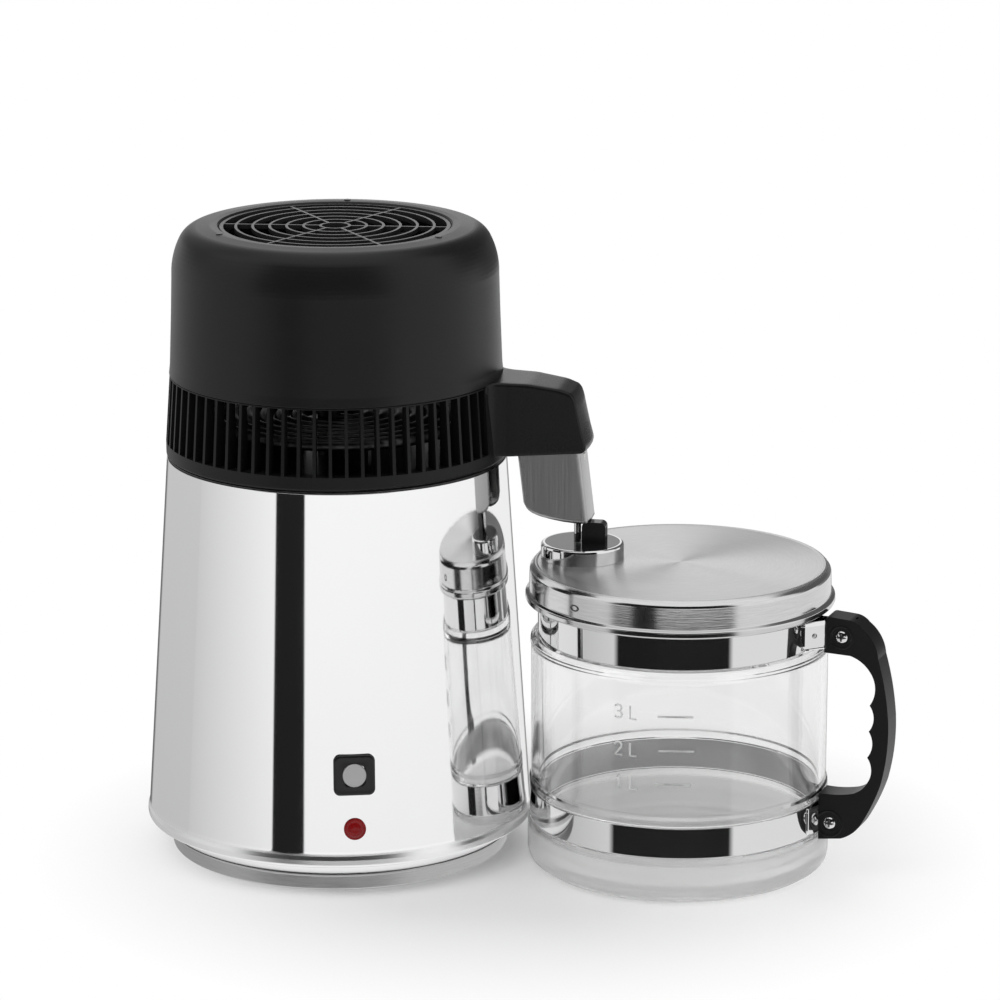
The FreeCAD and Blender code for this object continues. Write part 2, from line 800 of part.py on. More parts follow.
def make_button():
    neck_bottom = -d.neck_depth
    flange = seat(rounded_block("BezelFlange", d.bezel_width, d.bezel_width, d.bezel_corner,
                                -d.bezel_proud, d.bezel_proud), BUTTON_FRAME)
    neck = seat(rounded_block("BezelNeck", d.neck_width, d.neck_width, d.bezel_corner,
                              neck_bottom, d.sheet_wall), BUTTON_FRAME)
    bore = seat(cylinder(d.button_radius + d.button_clearance, 2 * d.neck_depth, z=neck_bottom), BUTTON_FRAME)
    node(cut(fuse(cut(flange, side_cone()), neck), bore), "button_bezel")

    skirt_bottom = -2.0
    plunger_bottom = neck_bottom - 1.0
    rim = d.button_proud - 0.5
    node(seat(turned("Button", [
        (0, plunger_bottom),
        (d.plunger_radius, plunger_bottom),
        (d.plunger_radius, skirt_bottom),
        (d.button_radius, skirt_bottom),
        (d.button_radius, rim),
        (d.button_radius - 0.6, d.button_proud - 0.1),
        (0, d.button_proud),
    ]), BUTTON_FRAME), "push_button")

    switch_top = neck_bottom
    body = seat(rounded_block("Switch", d.neck_width, d.neck_width, d.bezel_corner,
                              switch_top - d.switch_depth, switch_top), BUTTON_FRAME)
    well = seat(cylinder(d.plunger_radius + d.button_clearance, 6.0, z=switch_top - 6.0), BUTTON_FRAME)
    node(cut(body, well), "switch_body")


def make_lamp():
    node(seat(turned("Lens", [
        (0, -d.lens_radius),
        (d.lamp_radius, -d.lens_radius),
        (d.lamp_radius, d.hole_clearance),
        (d.lens_radius, d.hole_clearance),
        (d.lens_radius, 3 * d.hole_clearance),
        (d.lens_radius / 2, d.lens_proud - d.hole_clearance),
        (0, d.lens_proud),
    ]), LAMP_FRAME), "indicator_lens")
    back = -d.lamp_depth
    node(seat(cylinder(d.lamp_radius, d.lamp_depth - d.lens_radius, z=back), LAMP_FRAME), "indicator_body")
    nut_height = 3.0
    nut_back = -nut_height - d.sheet_wall - 0.4
    nut = hexagon(2 * (d.lamp_radius + 3.4), nut_height, z=nut_back)
    hole = cylinder(d.lamp_radius + 0.05, nut_height, z=nut_back)
    node(seat(cut(nut, hole), LAMP_FRAME), "indicator_nut")


def make_inlet():
    face = 2.4
    floor = d.inlet_floor - d.inlet_depth
    flange = seat(rounded_block("InletFlange", d.inlet_width, d.inlet_tall, d.inlet_wall,
                                -face, face), INLET_FRAME)
    body = seat(rounded_block("InletBody", d.inlet_body_width, d.inlet_body_tall, d.inlet_wall,
                              -d.inlet_depth, d.sheet_wall), INLET_FRAME)
    double = 2 * d.inlet_wall
    hollow = seat(rounded_block("InletHollow", d.inlet_body_width - double, d.inlet_body_tall - double,
                                d.inlet_wall, floor, d.inlet_floor), INLET_FRAME)
    node(cut(fuse(cut(flange, side_cone()), body), hollow), "power_inlet")
    pins = []
    for across, up in ((-7, -2), (0, 2), (7, -2)):
        pins.append(seat(box(2, 4, d.pin_length, across - 1, up - 2, floor), INLET_FRAME))
    node(group(*pins), "inlet_pins")


# ---------------------------------------------------------------- head
def make_vent_ring():
    low_edge = 1.6
    body = turned("VentRing", [
        (d.ledge_bore, d.ring_bottom_height),
        (d.ring_low_radius - low_edge, d.ring_bottom_height, -low_edge - 0.2),
        (d.ring_low_radius, d.ring_bottom_height + low_edge),
        (d.ring_low_radius, d.slot_bottom_height),
        (d.ring_high_radius, d.ring_top_height),
        (d.neck_radius, d.ring_top_height),
        (d.neck_radius, d.ring_top_height + d.neck_height),
        (d.ring_bore, d.ring_top_height + d.neck_height),
        (d.ring_bore, d.ring_bottom_height + d.ledge_thickness),
        (d.ledge_bore, d.ring_bottom_height + d.ledge_thickness),
    ])
    half = d.slot_width / 2
    start = d.ring_bore - low_edge
    pocket = body.newObject("PartDesign::Pocket", "Slot")
    pocket.Profile = sketch_on(body, "YZ_Plane", [
        (-half, d.slot_bottom_height),
        (half, d.slot_bottom_height),
        (half, d.slot_top_height),
        (-half, d.slot_top_height),
    ], start)
    pocket.Reversed = True
    bind(pocket, "Length", d.ring_low_radius + low_edge - start)
    step = 360 / SLOT_COUNT
    open_slots = SLOT_COUNT - SLOTS_BEHIND_ARM
    pattern = body.newObject("PartDesign::PolarPattern", "Slots")
    pattern.Originals = [pocket]
    axis = [item for item in body.Origin.OriginFeatures if item.Role == "Z_Axis"][0]
    pattern.Axis = (axis, [""])
    pattern.Angle = step * (open_slots - 1)
    pattern.Occurrences = open_slots
    body.Tip = pattern
    body.Placement = Placement(Vector(), spin(step * (SLOTS_BEHIND_ARM + 1) / 2))
    way_out = cylinder(d.tube_radius + d.sleeve_wall + d.hole_clearance, d.ring_low_radius,
                       x=d.ring_bore / 2, z=d.coil_height, along=(1, 0, 0))
    node(cut(body, way_out), "vent_ring")


def make_head_cover():
    wall = d.cover_wall
    bottom = d.ring_top_height + d.seat_gap
    inner_height = d.shoulder_height - wall
    shell = turned("CoverShell", [
        (d.cover_low_radius, bottom),
        (d.cover_side_radius, d.cover_side_height, -d.shoulder_bend),
        (d.shoulder_radius, d.shoulder_height, -d.crown_bend),
        (d.crown_radius, d.crown_height),
        (d.crown_radius - 6.5, d.head_top_height),
        (d.opening_radius + 0.8, d.head_top_height - 0.2),
        (d.opening_radius, d.head_top_height - 1.0),
        (d.opening_radius, d.head_top_height - 2 * wall),
        (d.crown_radius, d.crown_height - wall),
        (d.shoulder_radius - wall / 2, inner_height),
        (d.cover_side_radius - wall, d.cover_side_height),
        (d.cover_low_radius - wall, bottom),
    ])
    holes, screws = [], []
    shank = d.screw_radius - d.hole_clearance
    for index in range(GRILLE_SCREW_COUNT):
        angle = math.radians(GRILLE_SCREW_AZIMUTH + 360 * index / GRILLE_SCREW_COUNT)
        x, y = d.grille_screw_circle * math.cos(angle), d.grille_screw_circle * math.sin(angle)
        recess = d.head_top_height - d.grille_screw_recess
        length, head_height = d.grille_screw_length, d.grille_head_height
        holes.append(cylinder(d.screw_radius, length, x, y, d.head_top_height - length))
        holes.append(cylinder(d.grille_screw_head + d.hole_clearance, 2 * head_height, x, y, recess))
        head = cylinder(d.grille_screw_head, head_height, x, y, recess)
        screws.append(fuse(head, cylinder(shank, length + head_height / 2, x, y, recess - length)))
    node(cut(shell, *holes), "head_cover")
    node(group(*screws), "grille_screws")


def make_grille():
    bottom = d.head_top_height - d.grille_drop - d.grille_thickness
    height = d.grille_thickness
    outer = d.opening_radius - 0.2
    ear_top = d.head_top_height - 2 * d.cover_wall - d.hole_clearance
    ear_bottom = ear_top - d.ear_thickness
    bars = [tube(outer - 1.4 * d.grille_bar, outer, bottom + height - ear_bottom, z=ear_bottom)]
    for index in range(round(d.grille_steps.value)):
        radius = d.grille_hub + d.grille_pitch * index
        bars.append(tube(radius - d.grille_bar / 2, radius + d.grille_bar / 2, height, z=bottom))
    spoke_start = d.grille_hub - d.grille_bar / 2
    for index in range(SPOKE_COUNT):
        angle = math.radians(SPOKE_AZIMUTH + 360 * index / SPOKE_COUNT)
        side = d.grille_bar / 2
        x = spoke_start * math.cos(angle) + side * math.sin(angle)
        y = spoke_start * math.sin(angle) - side * math.cos(angle)
        bars.append(box(outer - d.grille_bar - spoke_start, d.grille_bar, height, x, y, bottom,
                        Rotation(UP, math.degrees(angle))))
    holes = []
    for index in range(GRILLE_SCREW_COUNT):
        azimuth = GRILLE_SCREW_AZIMUTH + 360 * index / GRILLE_SCREW_COUNT
        angle = math.radians(azimuth)
        start, side = outer - d.grille_bar, 4.0
        x = start * math.cos(angle) + side * math.sin(angle)
        y = start * math.sin(angle) - side * math.cos(angle)
        reach = d.grille_screw_circle + side - start
        bars.append(box(reach, 2 * side, d.ear_thickness, x, y, ear_bottom, Rotation(UP, azimuth)))
        screw_x, screw_y = d.grille_screw_circle * math.cos(angle), d.grille_screw_circle * math.sin(angle)
        hole_radius = d.screw_radius - d.hole_clearance
        holes.append(cylinder(hole_radius, 2 * d.ear_thickness, screw_x, screw_y, ear_bottom - height / 2))
    node(cut(fuse(*bars), *holes), "fan_grille")


def make_arm():
    half, flare = d.arm_width / 2, d.arm_flare_width / 2
    root = d.ring_bore
    nose = d.arm_tip_x
    corner = d.arm_nose_bend
    bow = corner / 4
    plan = pad("ArmPlan", "XY_Plane", [
        (root, -flare),
        (d.arm_flare_x - 10.5, -flare, 12.0),
        (d.arm_flare_x, -half),
        (nose - corner, -half, -corner),
        (nose - bow, corner - half, -d.arm_nose_radius),
        (nose - bow, half - corner, -corner),
        (nose - corner, half),
        (d.arm_flare_x, half, 12.0),
        (d.arm_flare_x - 10.5, flare),
        (root, flare),
    ], d.arm_top_height - d.arm_bottom_height, d.arm_bottom_height)
    side = pad("ArmSide", "XZ_Plane", [
        (root, d.arm_bottom_height),
        (d.arm_chin_x, d.arm_bottom_height, -2.6),
        (d.arm_chin_x + 1.8, d.arm_bottom_height + 1.8),
        (d.arm_tip_x, d.arm_tip_height),
        (d.arm_nose_top_x, d.arm_nose_top_height, -9.0),
        (d.arm_shoulder_x, d.arm_shoulder_height, -260.0),
        (root, d.arm_top_height),
    ], d.arm_flare_width, both_ways=True)
    low, slots, high = d.ring_bottom_height, d.slot_bottom_height, d.ring_top_height
    low_radius, high_radius = d.ring_low_radius + 0.1, d.ring_high_radius + 0.1
    ring_side = cylinder(low_radius, slots - low, z=low)
    ring_taper = cone(low_radius, high_radius, high - slots, slots)
    cover_side = cylinder(high_radius + d.seat_gap, d.arm_top_height - high, z=high)
    wall = d.arm_wall
    hollow = box(d.cup_x + d.tube_radius + 1.0 - root, d.arm_width - 2 * wall, 29.0,
                 root, wall - half, d.arm_bottom_height + wall)
    floor_hole = cylinder(d.tube_radius + 0.2, 2 * wall, d.cup_x, 0, d.arm_bottom_height - wall / 2)
    node(cut(common(plan, side), ring_side, ring_taper, cover_side, hollow, floor_hole), "spout_arm")


def make_hood():
    half, gauge = d.hood_width / 2, d.hood_gauge
    nose = d.hood_nose_x
    inner = nose - gauge
    corner, inner_corner = d.hood_corner, d.hood_corner - gauge
    bow = corner / 4
    straight = nose - corner
    side = half - corner
    front_radius = d.hood_nose_radius
    top = d.arm_bottom_height - 0.2
    sheet_body = new_body("HoodPlan")
    outline = sketch_on(sheet_body, "XY_Plane", [
        (d.hood_back_x, -half),
        (straight, -half, -corner),
        (nose - bow, -side, -front_radius),
        (nose - bow, side, -corner),
        (straight, half),
        (d.hood_back_x, half),
        (d.hood_back_x, half - gauge),
        (straight, half - gauge, inner_corner),
        (inner - bow, side, front_radius - gauge),
        (inner - bow, -side, inner_corner),
        (straight, gauge - half),
        (d.hood_back_x, gauge - half),
    ], top)
    leaning = doc.addObject("Part::Extrusion", "HoodSheet")
    leaning.Base = outline
    leaning.DirMode = "Custom"
    leaning.Dir = Vector(d.hood_lean.value, 0, -1)
    bind(leaning, "LengthFwd", top - d.hood_front_height + 20.0)
    leaning.Solid = True
    below = pad("HoodTrim", "XZ_Plane", [
        (d.hood_back_x - 6.0, d.hood_front_height - 30.0),
        (nose + 16.0, d.hood_front_height - 30.0),
        (nose + 16.0, d.hood_front_height - 0.5),
        (nose - 2.0, d.hood_front_height, 90.0),
        (d.hood_knee_x + 2.5, d.hood_knee_height - 1.4, 7.0),
        (d.hood_back_x + 2.0, d.hood_back_height),
        (d.hood_back_x - 6.0, d.hood_back_height),
    ], 3 * d.hood_width, both_ways=True)
    node(cut(leaning, below), "spout_hood")


def make_filter():
    wall, bottom = d.cup_wall, d.cup_bottom_height
    top = d.arm_bottom_height - 0.3
    cup = turned("Cup", [
        (0, bottom),
        (d.cup_radius, bottom),
        (d.cup_radius, top),
        (d.cup_radius - wall, top),
        (d.cup_radius - wall, bottom + wall),
        (0, bottom + wall),
    ])
    place(cup, x=d.cup_x)
    nozzle_x = d.cup_x + d.nozzle_offset
    nozzle_bottom = bottom + wall - d.nozzle_length
    node(cut(cup, cylinder(d.nozzle_radius, 3 * wall, nozzle_x, 0, bottom - wall)), "filter_cup")
    node(tube(d.nozzle_bore, d.nozzle_radius, d.nozzle_length, nozzle_x, 0, nozzle_bottom), "drip_nozzle")
    pad_radius = d.cup_radius - wall - d.hole_clearance
    pad_bottom = bottom + wall + d.hole_clearance
    node(cylinder(pad_radius, d.charcoal_height, d.cup_x, 0, pad_bottom), "charcoal_pad")


def make_steam_path():
    pan_bottom = d.ring_bottom_height + d.ledge_thickness
    riser_y = -d.coil_offset - d.elbow_radius
    pan = cylinder(d.pan_radius, d.pan_gauge, z=pan_bottom)
    riser_bore = d.riser_radius - d.riser_wall
    node(cut(pan, cylinder(riser_bore, d.pan_gauge, y=riser_y, z=pan_bottom)), "head_pan")
    gasket_radius = d.ledge_bore - d.hole_clearance
    node(tube(gasket_radius - d.gasket_width, gasket_radius, d.ledge_thickness,
              z=d.ring_bottom_height), "pan_gasket")
    riser_bottom = pan_bottom + d.pan_gauge
    riser = cylinder(d.riser_radius, d.riser_height, y=riser_y, z=riser_bottom)
    bore = cylinder(riser_bore, d.riser_height - d.riser_wall, y=riser_y, z=riser_bottom)
    port = cylinder(d.tube_radius + 0.1, 2 * d.riser_radius, y=riser_y, z=d.coil_height, along=(1, 0, 0))
    node(cut(riser, bore, port), "steam_riser")

    runs = []
    stub_start = d.riser_radius - d.riser_wall
    inlet_x = d.coil_inner_radius - d.elbow_radius
    runs.append(cylinder(d.tube_radius, inlet_x - stub_start, stub_start, riser_y, d.coil_height, (1, 0, 0)))
    runs.append(bend(d.elbow_radius, d.tube_radius, 90, inlet_x, -d.coil_offset, d.coil_height, spin(-90)))
    half_turns = round(2 * d.coil_turns.value)
    for index in range(half_turns):
        radius = d.coil_inner_radius + d.coil_pitch * (index / 2)
        centre = d.coil_pitch / 2 if index % 2 else 0
        turn = spin(180 * (index % 2))
        runs.append(bend(radius, d.tube_radius, 180, centre, -d.coil_offset, d.coil_height, turn))
    coil_end = d.coil_inner_radius + d.coil_pitch * (half_turns / 2)
    elbow_x = coil_end + d.elbow_radius
    runs.append(bend(d.elbow_radius, d.tube_radius, 90, elbow_x, -d.coil_offset, d.coil_height, spin(90)))
    outlet_y = d.elbow_radius - d.coil_offset
    runs.append(cylinder(d.tube_radius, d.joint_x - elbow_x, elbow_x, outlet_y, d.coil_height, (1, 0, 0)))
    node(fuse(*runs), "condenser_coil")

    bars = []
    bar_height = d.coil_height - d.tube_radius - riser_bottom
    for azimuth in SUPPORT_AZIMUTHS:
        angle = math.radians(azimuth)
        side = d.support_gauge / 2
        x = d.support_inner * math.cos(angle) + side * math.sin(angle)
        y = d.support_inner * math.sin(angle) - side * math.cos(angle) - d.coil_offset
        bars.append(box(d.support_length, d.support_gauge, bar_height, x, y, riser_bottom,
                        Rotation(UP, azimuth)))
    node(group(*bars), "coil_supports")

    tube_start = d.joint_x + 0.4
    bend_x = d.cup_x - d.elbow_radius
    drop = 18.0
    straight = cylinder(d.tube_radius, bend_x - tube_start, tube_start, 0, d.coil_height, (1, 0, 0))
    turn = Rotation(Vector(1, 0, 0), 90)
    corner = bend(d.elbow_radius, d.tube_radius, 90, bend_x, 0, d.coil_height - d.elbow_radius, turn)
    down = cylinder(d.tube_radius, drop, d.cup_x, 0, d.coil_height - d.elbow_radius - drop)
    node(fuse(straight, corner, down), "outlet_tube")
    sleeve_bore = d.tube_radius + 0.1
    node(tube(sleeve_bore, sleeve_bore + d.sleeve_wall, d.sleeve_length, d.joint_x - d.sleeve_length / 2, 0,
              d.coil_height, (1, 0, 0)), "outlet_sleeve")


def make_fan():
    bracket_bottom = d.bracket_height
    bracket_top = bracket_bottom + d.bracket_gauge
    motor_bottom = bracket_bottom - d.motor_height
    shaft_bottom = motor_bottom + d.motor_height / 2
    bearing = d.shaft_radius + d.running_gap
    bores = [cylinder(bearing, d.motor_height, z=shaft_bottom - 0.3)]
    cover_bottom = d.ring_top_height + d.seat_gap
    slope = (d.cover_low_radius - d.cover_side_radius) / (d.cover_side_height - cover_bottom)
    cover_bore = d.cover_low_radius - d.cover_wall - slope * (bracket_top - cover_bottom)
    reach = cover_bore - d.hole_clearance
    screw_circle = d.motor_radius - d.motor_screw_inset
    screw_radius, depth = d.motor_screw_radius, d.motor_screw_depth
    hole_start = bracket_bottom - 1.0
    parts, screws, holes = [cylinder(d.motor_radius, d.bracket_gauge, z=bracket_bottom)], [], []
    for azimuth in BRACKET_AZIMUTHS:
        angle = math.radians(azimuth)
        side = d.bracket_arm_width / 2
        start = d.motor_radius / 2
        x = start * math.cos(angle) + side * math.sin(angle)
        y = start * math.sin(angle) - side * math.cos(angle)
        parts.append(box(reach - start, d.bracket_arm_width, d.bracket_gauge, x, y, bracket_bottom,
                         Rotation(UP, azimuth)))
        screw_x, screw_y = screw_circle * math.cos(angle), screw_circle * math.sin(angle)
        head = cylinder(d.motor_screw_head, d.motor_head_height, screw_x, screw_y, bracket_top)
        shank = cylinder(screw_radius, depth + d.bracket_gauge, screw_x, screw_y, bracket_bottom - depth)
        screws.append(fuse(head, shank))
        holes.append(cylinder(screw_radius + 0.1, 2 * d.bracket_gauge, screw_x, screw_y, hole_start))
        bores.append(cylinder(screw_radius, depth + 1.0, screw_x, screw_y, bracket_bottom - depth - 1.0))
    rim = cylinder(reach, d.bracket_gauge, z=bracket_bottom)
    holes.append(cylinder(d.shaft_radius + 1.0, 2 * d.bracket_gauge, z=hole_start))
    node(cut(common(fuse(*parts), rim), *holes), "motor_bracket")
    node(group(*screws), "motor_screws")
    node(cut(cylinder(d.motor_radius, d.motor_height, z=motor_bottom), *bores), "fan_motor")

    hub_bottom = bracket_top + 4.0
    hub_top = hub_bottom + d.fan_hub_height
    hub = turned("FanHub", [
        (d.shaft_radius, hub_bottom),
        (d.shaft_radius + 4.0, hub_bottom),
        (d.shaft_radius + 4.0, hub_top - 2.5),
        (d.fan_hub_radius - 2.0, hub_top - 2.5),
        (d.fan_hub_radius - 2.0, hub_bottom),
        (d.fan_hub_radius, hub_bottom),
        (d.fan_hub_radius, hub_top - 3.0, -3.4),
        (d.fan_hub_radius - 3.0, hub_top),
        (d.shaft_radius, hub_top),
    ])
    blades = []
    length = d.fan_radius - d.fan_hub_radius + 1.0
    for index in range(BLADE_COUNT):
        azimuth = 360 * index / BLADE_COUNT
        turn = Rotation(UP, azimuth) * Rotation(Vector(1, 0, 0), d.blade_pitch.value)
        corner = Vector(d.fan_hub_radius.value - 1.0, -d.blade_chord.value / 2, -d.blade_gauge.value / 2)
        centre = Vector(0, 0, number(hub_bottom) + number(d.fan_hub_height) / 2)
        at = centre + turn.multVec(corner)
        blades.append(box(length, d.blade_chord, d.blade_gauge, at.x, at.y, at.z, turn))
    node(fuse(hub, *blades), "fan_impeller")
    node(cylinder(d.shaft_radius, hub_top - shaft_bottom - 1.0, z=shaft_bottom), "fan_shaft")


# ---------------------------------------------------------------- jug
def at_jug(thing, azimuth=0):
    """Stands an object on the jug's axis, turned about it."""
    return place(thing, x=d.jug_x, turn=spin(azimuth))


def make_glass():
    foot, body, neck, rim = d.glass_foot_radius, d.glass_body_radius, d.glass_neck_radius, d.glass_rim_radius
    wall, ridge = d.glass_wall, d.glass_ridge
    low_seat = d.low_band_radius - d.band_gauge - d.hole_clearance
    shoulder = d.glass_shoulder_height
    inner = body - wall
    rim_top = d.glass_rim_height
    node(at_jug(turned("Glass", [
        (0, 1.5),
        (foot - 15.0, 1.5),
        (foot - 11.0, 0),
        (foot - 6.4, 0, -d.glass_foot_bend),
        (foot, 6.6),
        (foot, d.glass_foot_height),
        (foot - 0.8, d.glass_foot_height + 1.6),
        (low_seat, d.low_band_bottom - 0.4),
        (low_seat, d.low_band_top + 0.4),
        (body + ridge, d.low_band_top + 1.4),
        (body + ridge, d.low_band_top + 4.6),
        (body, d.low_band_top + 6.4),
        (body, shoulder - 7.0),
        (body + ridge / 2, shoulder - 4.6),
        (body, shoulder - 1.6, -2.4),
        (neck + 3.2, shoulder),
        (neck, d.high_band_bottom - 0.4),
        (neck, d.high_band_top + 0.4),
        (rim, d.high_band_top + 1.2),
        (rim, rim_top - 1.6, -2.0),
        (rim - 1.8, rim_top),
        (neck - wall + 1.2, rim_top),
        (neck - wall, rim_top - 1.6),
        (neck - wall, shoulder + 1.0),
        (inner, shoulder - 6.0),
        (inner, d.glass_floor + 8.0, 8.2),
        (inner - 8.0, d.glass_floor),
        (0, d.glass_floor),
    ])), "jug_glass")


def make_bands():
    rows = (
        ("lower_band", d.low_band_radius, d.low_band_bottom, d.low_band_top,
         d.low_screw_reach, d.low_screw_height),
        ("upper_band", d.high_band_radius, d.high_band_bottom, d.high_band_top,
         d.high_screw_reach, d.high_screw_height),
    )
    for label, radius, low, high, reach, height in rows:
        ring = tube(radius - d.band_gauge, radius, high - low, z=low)
        margin = 1.2
        tab = box(d.tab_reach - radius, d.tab_gauge, high - low - 2 * margin,
                  radius - 0.3, -d.tab_gauge / 2, low + margin)
        hole_radius = d.handle_screw_radius + d.hole_clearance
        hole = cylinder(hole_radius, 2 * d.tab_gauge, reach, d.tab_gauge, height, (0, -1, 0))
        node(at_jug(cut(fuse(ring, tab), hole), d.handle_azimuth), label)


def make_handle():
    root = d.handle_root
    half = d.handle_width / 2
    low_seat, span = d.low_band_bottom, d.high_band_bottom - d.low_band_bottom
    outline = []
    for reach, height, bulge in HANDLE_OUTLINE:
        corner = (root + d.handle_depth * reach, low_seat + span * height)
        outline.append(corner + (d.handle_depth * bulge,) if bulge else corner)
    body = pad("Handle", "XZ_Plane", outline, d.handle_width, both_ways=True)
    cuts, screws, nuts = [], [], []
    rows = (
        (d.low_screw_reach, d.low_screw_height, d.low_band_bottom, d.low_band_top),
        (d.high_screw_reach, d.high_screw_height, d.high_band_bottom, d.high_band_top),
    )
    slot = d.tab_gauge + 0.4
    head_hole = d.handle_screw_head + d.hole_clearance
    screw_radius, recess = d.handle_screw_radius, d.handle_recess
    for reach, height, low, high in rows:
        cuts.append(box(d.tab_reach + 0.6 - root + 3.0, slot, high - low, root - 3.0, -slot / 2, low))
        cuts.append(cylinder(d.handle_screw_radius + 0.2, d.handle_width, reach, half, height, (0, -1, 0)))
        cuts.append(cylinder(head_hole, recess, reach, recess - half, height, (0, -1, 0)))
        cuts.append(cylinder(head_hole, recess, reach, half, height, (0, -1, 0)))
        head = cylinder(d.handle_screw_head, recess - 0.6, reach, recess - half, height, (0, -1, 0))
        shank_length = d.handle_width - recess - 0.6
        shank = cylinder(screw_radius, shank_length, reach, half - 0.6, height, (0, -1, 0))
        screws.append(fuse(head, shank))
        nut = hexagon(2 * d.handle_screw_head, recess - 0.6, reach, half - 0.6, height, (0, -1, 0))
        nuts.append(cut(nut, cylinder(screw_radius, d.handle_width, reach, half, height, (0, -1, 0))))
    node(at_jug(cut(body, *cuts), d.handle_azimuth), "jug_handle")
    node(at_jug(group(*screws), d.handle_azimuth), "handle_screws")
    node(at_jug(group(*nuts), d.handle_azimuth), "handle_nuts")


def make_lid():
    gauge, top = d.sheet_wall, d.lid_top_height
    bend_edge = d.lid_edge_bend
    sheet_body = at_jug(turned("LidSheet", [
        (0, top - d.lid_dish - gauge),
        (d.lid_radius - bend_edge - d.lid_step, top - d.lid_dish - gauge),
        (d.lid_radius - bend_edge, top - gauge, -bend_edge + gauge - 0.05),
        (d.lid_radius - gauge, top - bend_edge),
        (d.lid_radius - gauge, d.rim_bottom_height + 0.3),
        (d.rim_radius, d.rim_bottom_height, -d.rim_bend),
        (d.rim_radius, d.rim_top_height),
        (d.lid_radius + 0.3, d.rim_top_height + 1.0),
        (d.lid_radius, top - bend_edge, bend_edge + 0.05),
        (d.lid_radius - bend_edge, top),
        (d.lid_radius - bend_edge - d.lid_step, top - d.lid_dish),
        (0, top - d.lid_dish),
    ]))
    spigot_hole = cylinder(d.spigot_radius + d.hole_clearance, 6 * gauge, d.spigot_x, 0, top - 3 * gauge)
    node(cut(sheet_body, spigot_hole), "jug_lid")
    seal_bottom = d.glass_rim_height + d.seat_gap
    seal_outer = d.glass_rim_radius - 0.6
    seal_top = top - gauge - d.lid_dish
    node(tube(seal_outer - d.lid_seal_width, seal_outer, seal_top - seal_bottom, d.jug_x, 0, seal_bottom),
         "lid_gasket")
    cap_bottom = top - d.lid_dish
    cap_top = cap_bottom + d.cap_height
    wall = d.sheet_wall + 0.2
    cap = turned("Cap", [
        (d.cap_radius, cap_bottom),
        (d.cap_radius, cap_top - d.cap_edge, d.cap_edge + 0.02),
        (d.cap_radius - d.cap_edge, cap_top),
        (0, cap_top),
        (0, cap_top - wall),
        (d.cap_radius - d.cap_edge - wall / 2, cap_top - wall),
        (d.cap_radius - wall, cap_top - d.cap_edge - wall),
        (d.cap_radius - wall, cap_bottom),
    ])
    place(cap, x=d.cap_x)
    node(cut(cap, cylinder(d.spigot_radius, 3 * wall, d.spigot_x, 0, cap_top - 2 * wall)), "drip_cap")
    left = d.inlet_block_x - d.inlet_block_length / 2
    right = left + d.inlet_block_length
    block_top = cap_top + d.inlet_block_height
    corner = d.inlet_block_corner
    block = pad("InletBlock", "XZ_Plane", [
        (left, cap_top),
        (right, cap_top),
        (right, block_top - corner, -corner - 0.02),
        (right - corner, block_top),
        (left + corner, block_top, -corner - 0.02),
        (left, block_top - corner),
    ], d.inlet_block_width, both_ways=True)
    spigot = cylinder(d.spigot_radius, d.spigot_length, d.spigot_x, 0, cap_top - d.spigot_length)
    bore = cylinder(d.drip_bore, d.spigot_length, d.spigot_x, 0, cap_top - d.spigot_length)
    node(group(block, cut(spigot, bore)), "drip_inlet")


def write_parts():
    """Recomputes the document, checks every object and writes one STEP file a sub-part."""
    doc.recompute()
    for thing in doc.Objects:
        if "Invalid" in thing.State or "Error" in thing.State:
            raise RuntimeError(f"{thing.Name} ({thing.Label}) did not recompute")
    os.makedirs("parts", exist_ok=True)
    for thing in nodes:
        shape = thing.Shape
        if shape.isNull() or not shape.isValid() or not shape.Solids:
            raise RuntimeError(f"{thing.Label} has no valid shape")
        shape.exportStep(f"parts/{thing.Label}.step")
        corners = shape.BoundBox
        print(f"{thing.Label:18s} {len(shape.Solids):2d} {shape.Volume / 1000:9.3f} cm3  "
              f"x {corners.XMin:7.1f} {corners.XMax:7.1f}  y {corners.YMin:7.1f} {corners.YMax:7.1f}  "
              f"z {corners.ZMin:6.1f} {corners.ZMax:6.1f}")


make_shell()
make_foot()
make_boiler()
make_button()
make_lamp()
make_inlet()
make_vent_ring()
make_head_cover()
make_grille()
make_arm()
make_hood()
make_filter()
make_steam_path()
make_fan()
make_glass()
make_bands()
make_handle()
make_lid()
write_parts()
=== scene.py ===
"""Looks of a countertop water distiller and its glass jug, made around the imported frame.

Metres and the row frame throughout. Most pieces are profiles turned about an axis; a profile is a list of
corners (radius, height, fillet) in millimetres, and the rest are grids worked out from two parameters.
"""

import math

import bpy
import numpy as np
from mathutils import Matrix, Vector


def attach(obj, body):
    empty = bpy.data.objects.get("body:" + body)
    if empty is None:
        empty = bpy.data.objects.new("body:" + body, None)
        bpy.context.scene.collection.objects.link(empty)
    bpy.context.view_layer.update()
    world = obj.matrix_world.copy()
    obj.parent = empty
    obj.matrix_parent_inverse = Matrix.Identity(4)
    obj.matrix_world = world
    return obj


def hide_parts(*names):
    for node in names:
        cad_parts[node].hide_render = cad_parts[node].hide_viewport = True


MM = 0.001
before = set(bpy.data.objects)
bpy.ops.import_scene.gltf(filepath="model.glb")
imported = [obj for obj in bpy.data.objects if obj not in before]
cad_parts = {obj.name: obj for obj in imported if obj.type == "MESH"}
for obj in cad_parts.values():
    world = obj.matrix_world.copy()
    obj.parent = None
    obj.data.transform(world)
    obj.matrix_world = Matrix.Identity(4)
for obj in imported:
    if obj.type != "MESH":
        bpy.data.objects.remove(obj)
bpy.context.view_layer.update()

# ---------------------------------------------------------------- sizes, in millimetres and degrees
# the side's radius and height at its foot and at its top
SIDE_LOW = (109.6, 23.6)
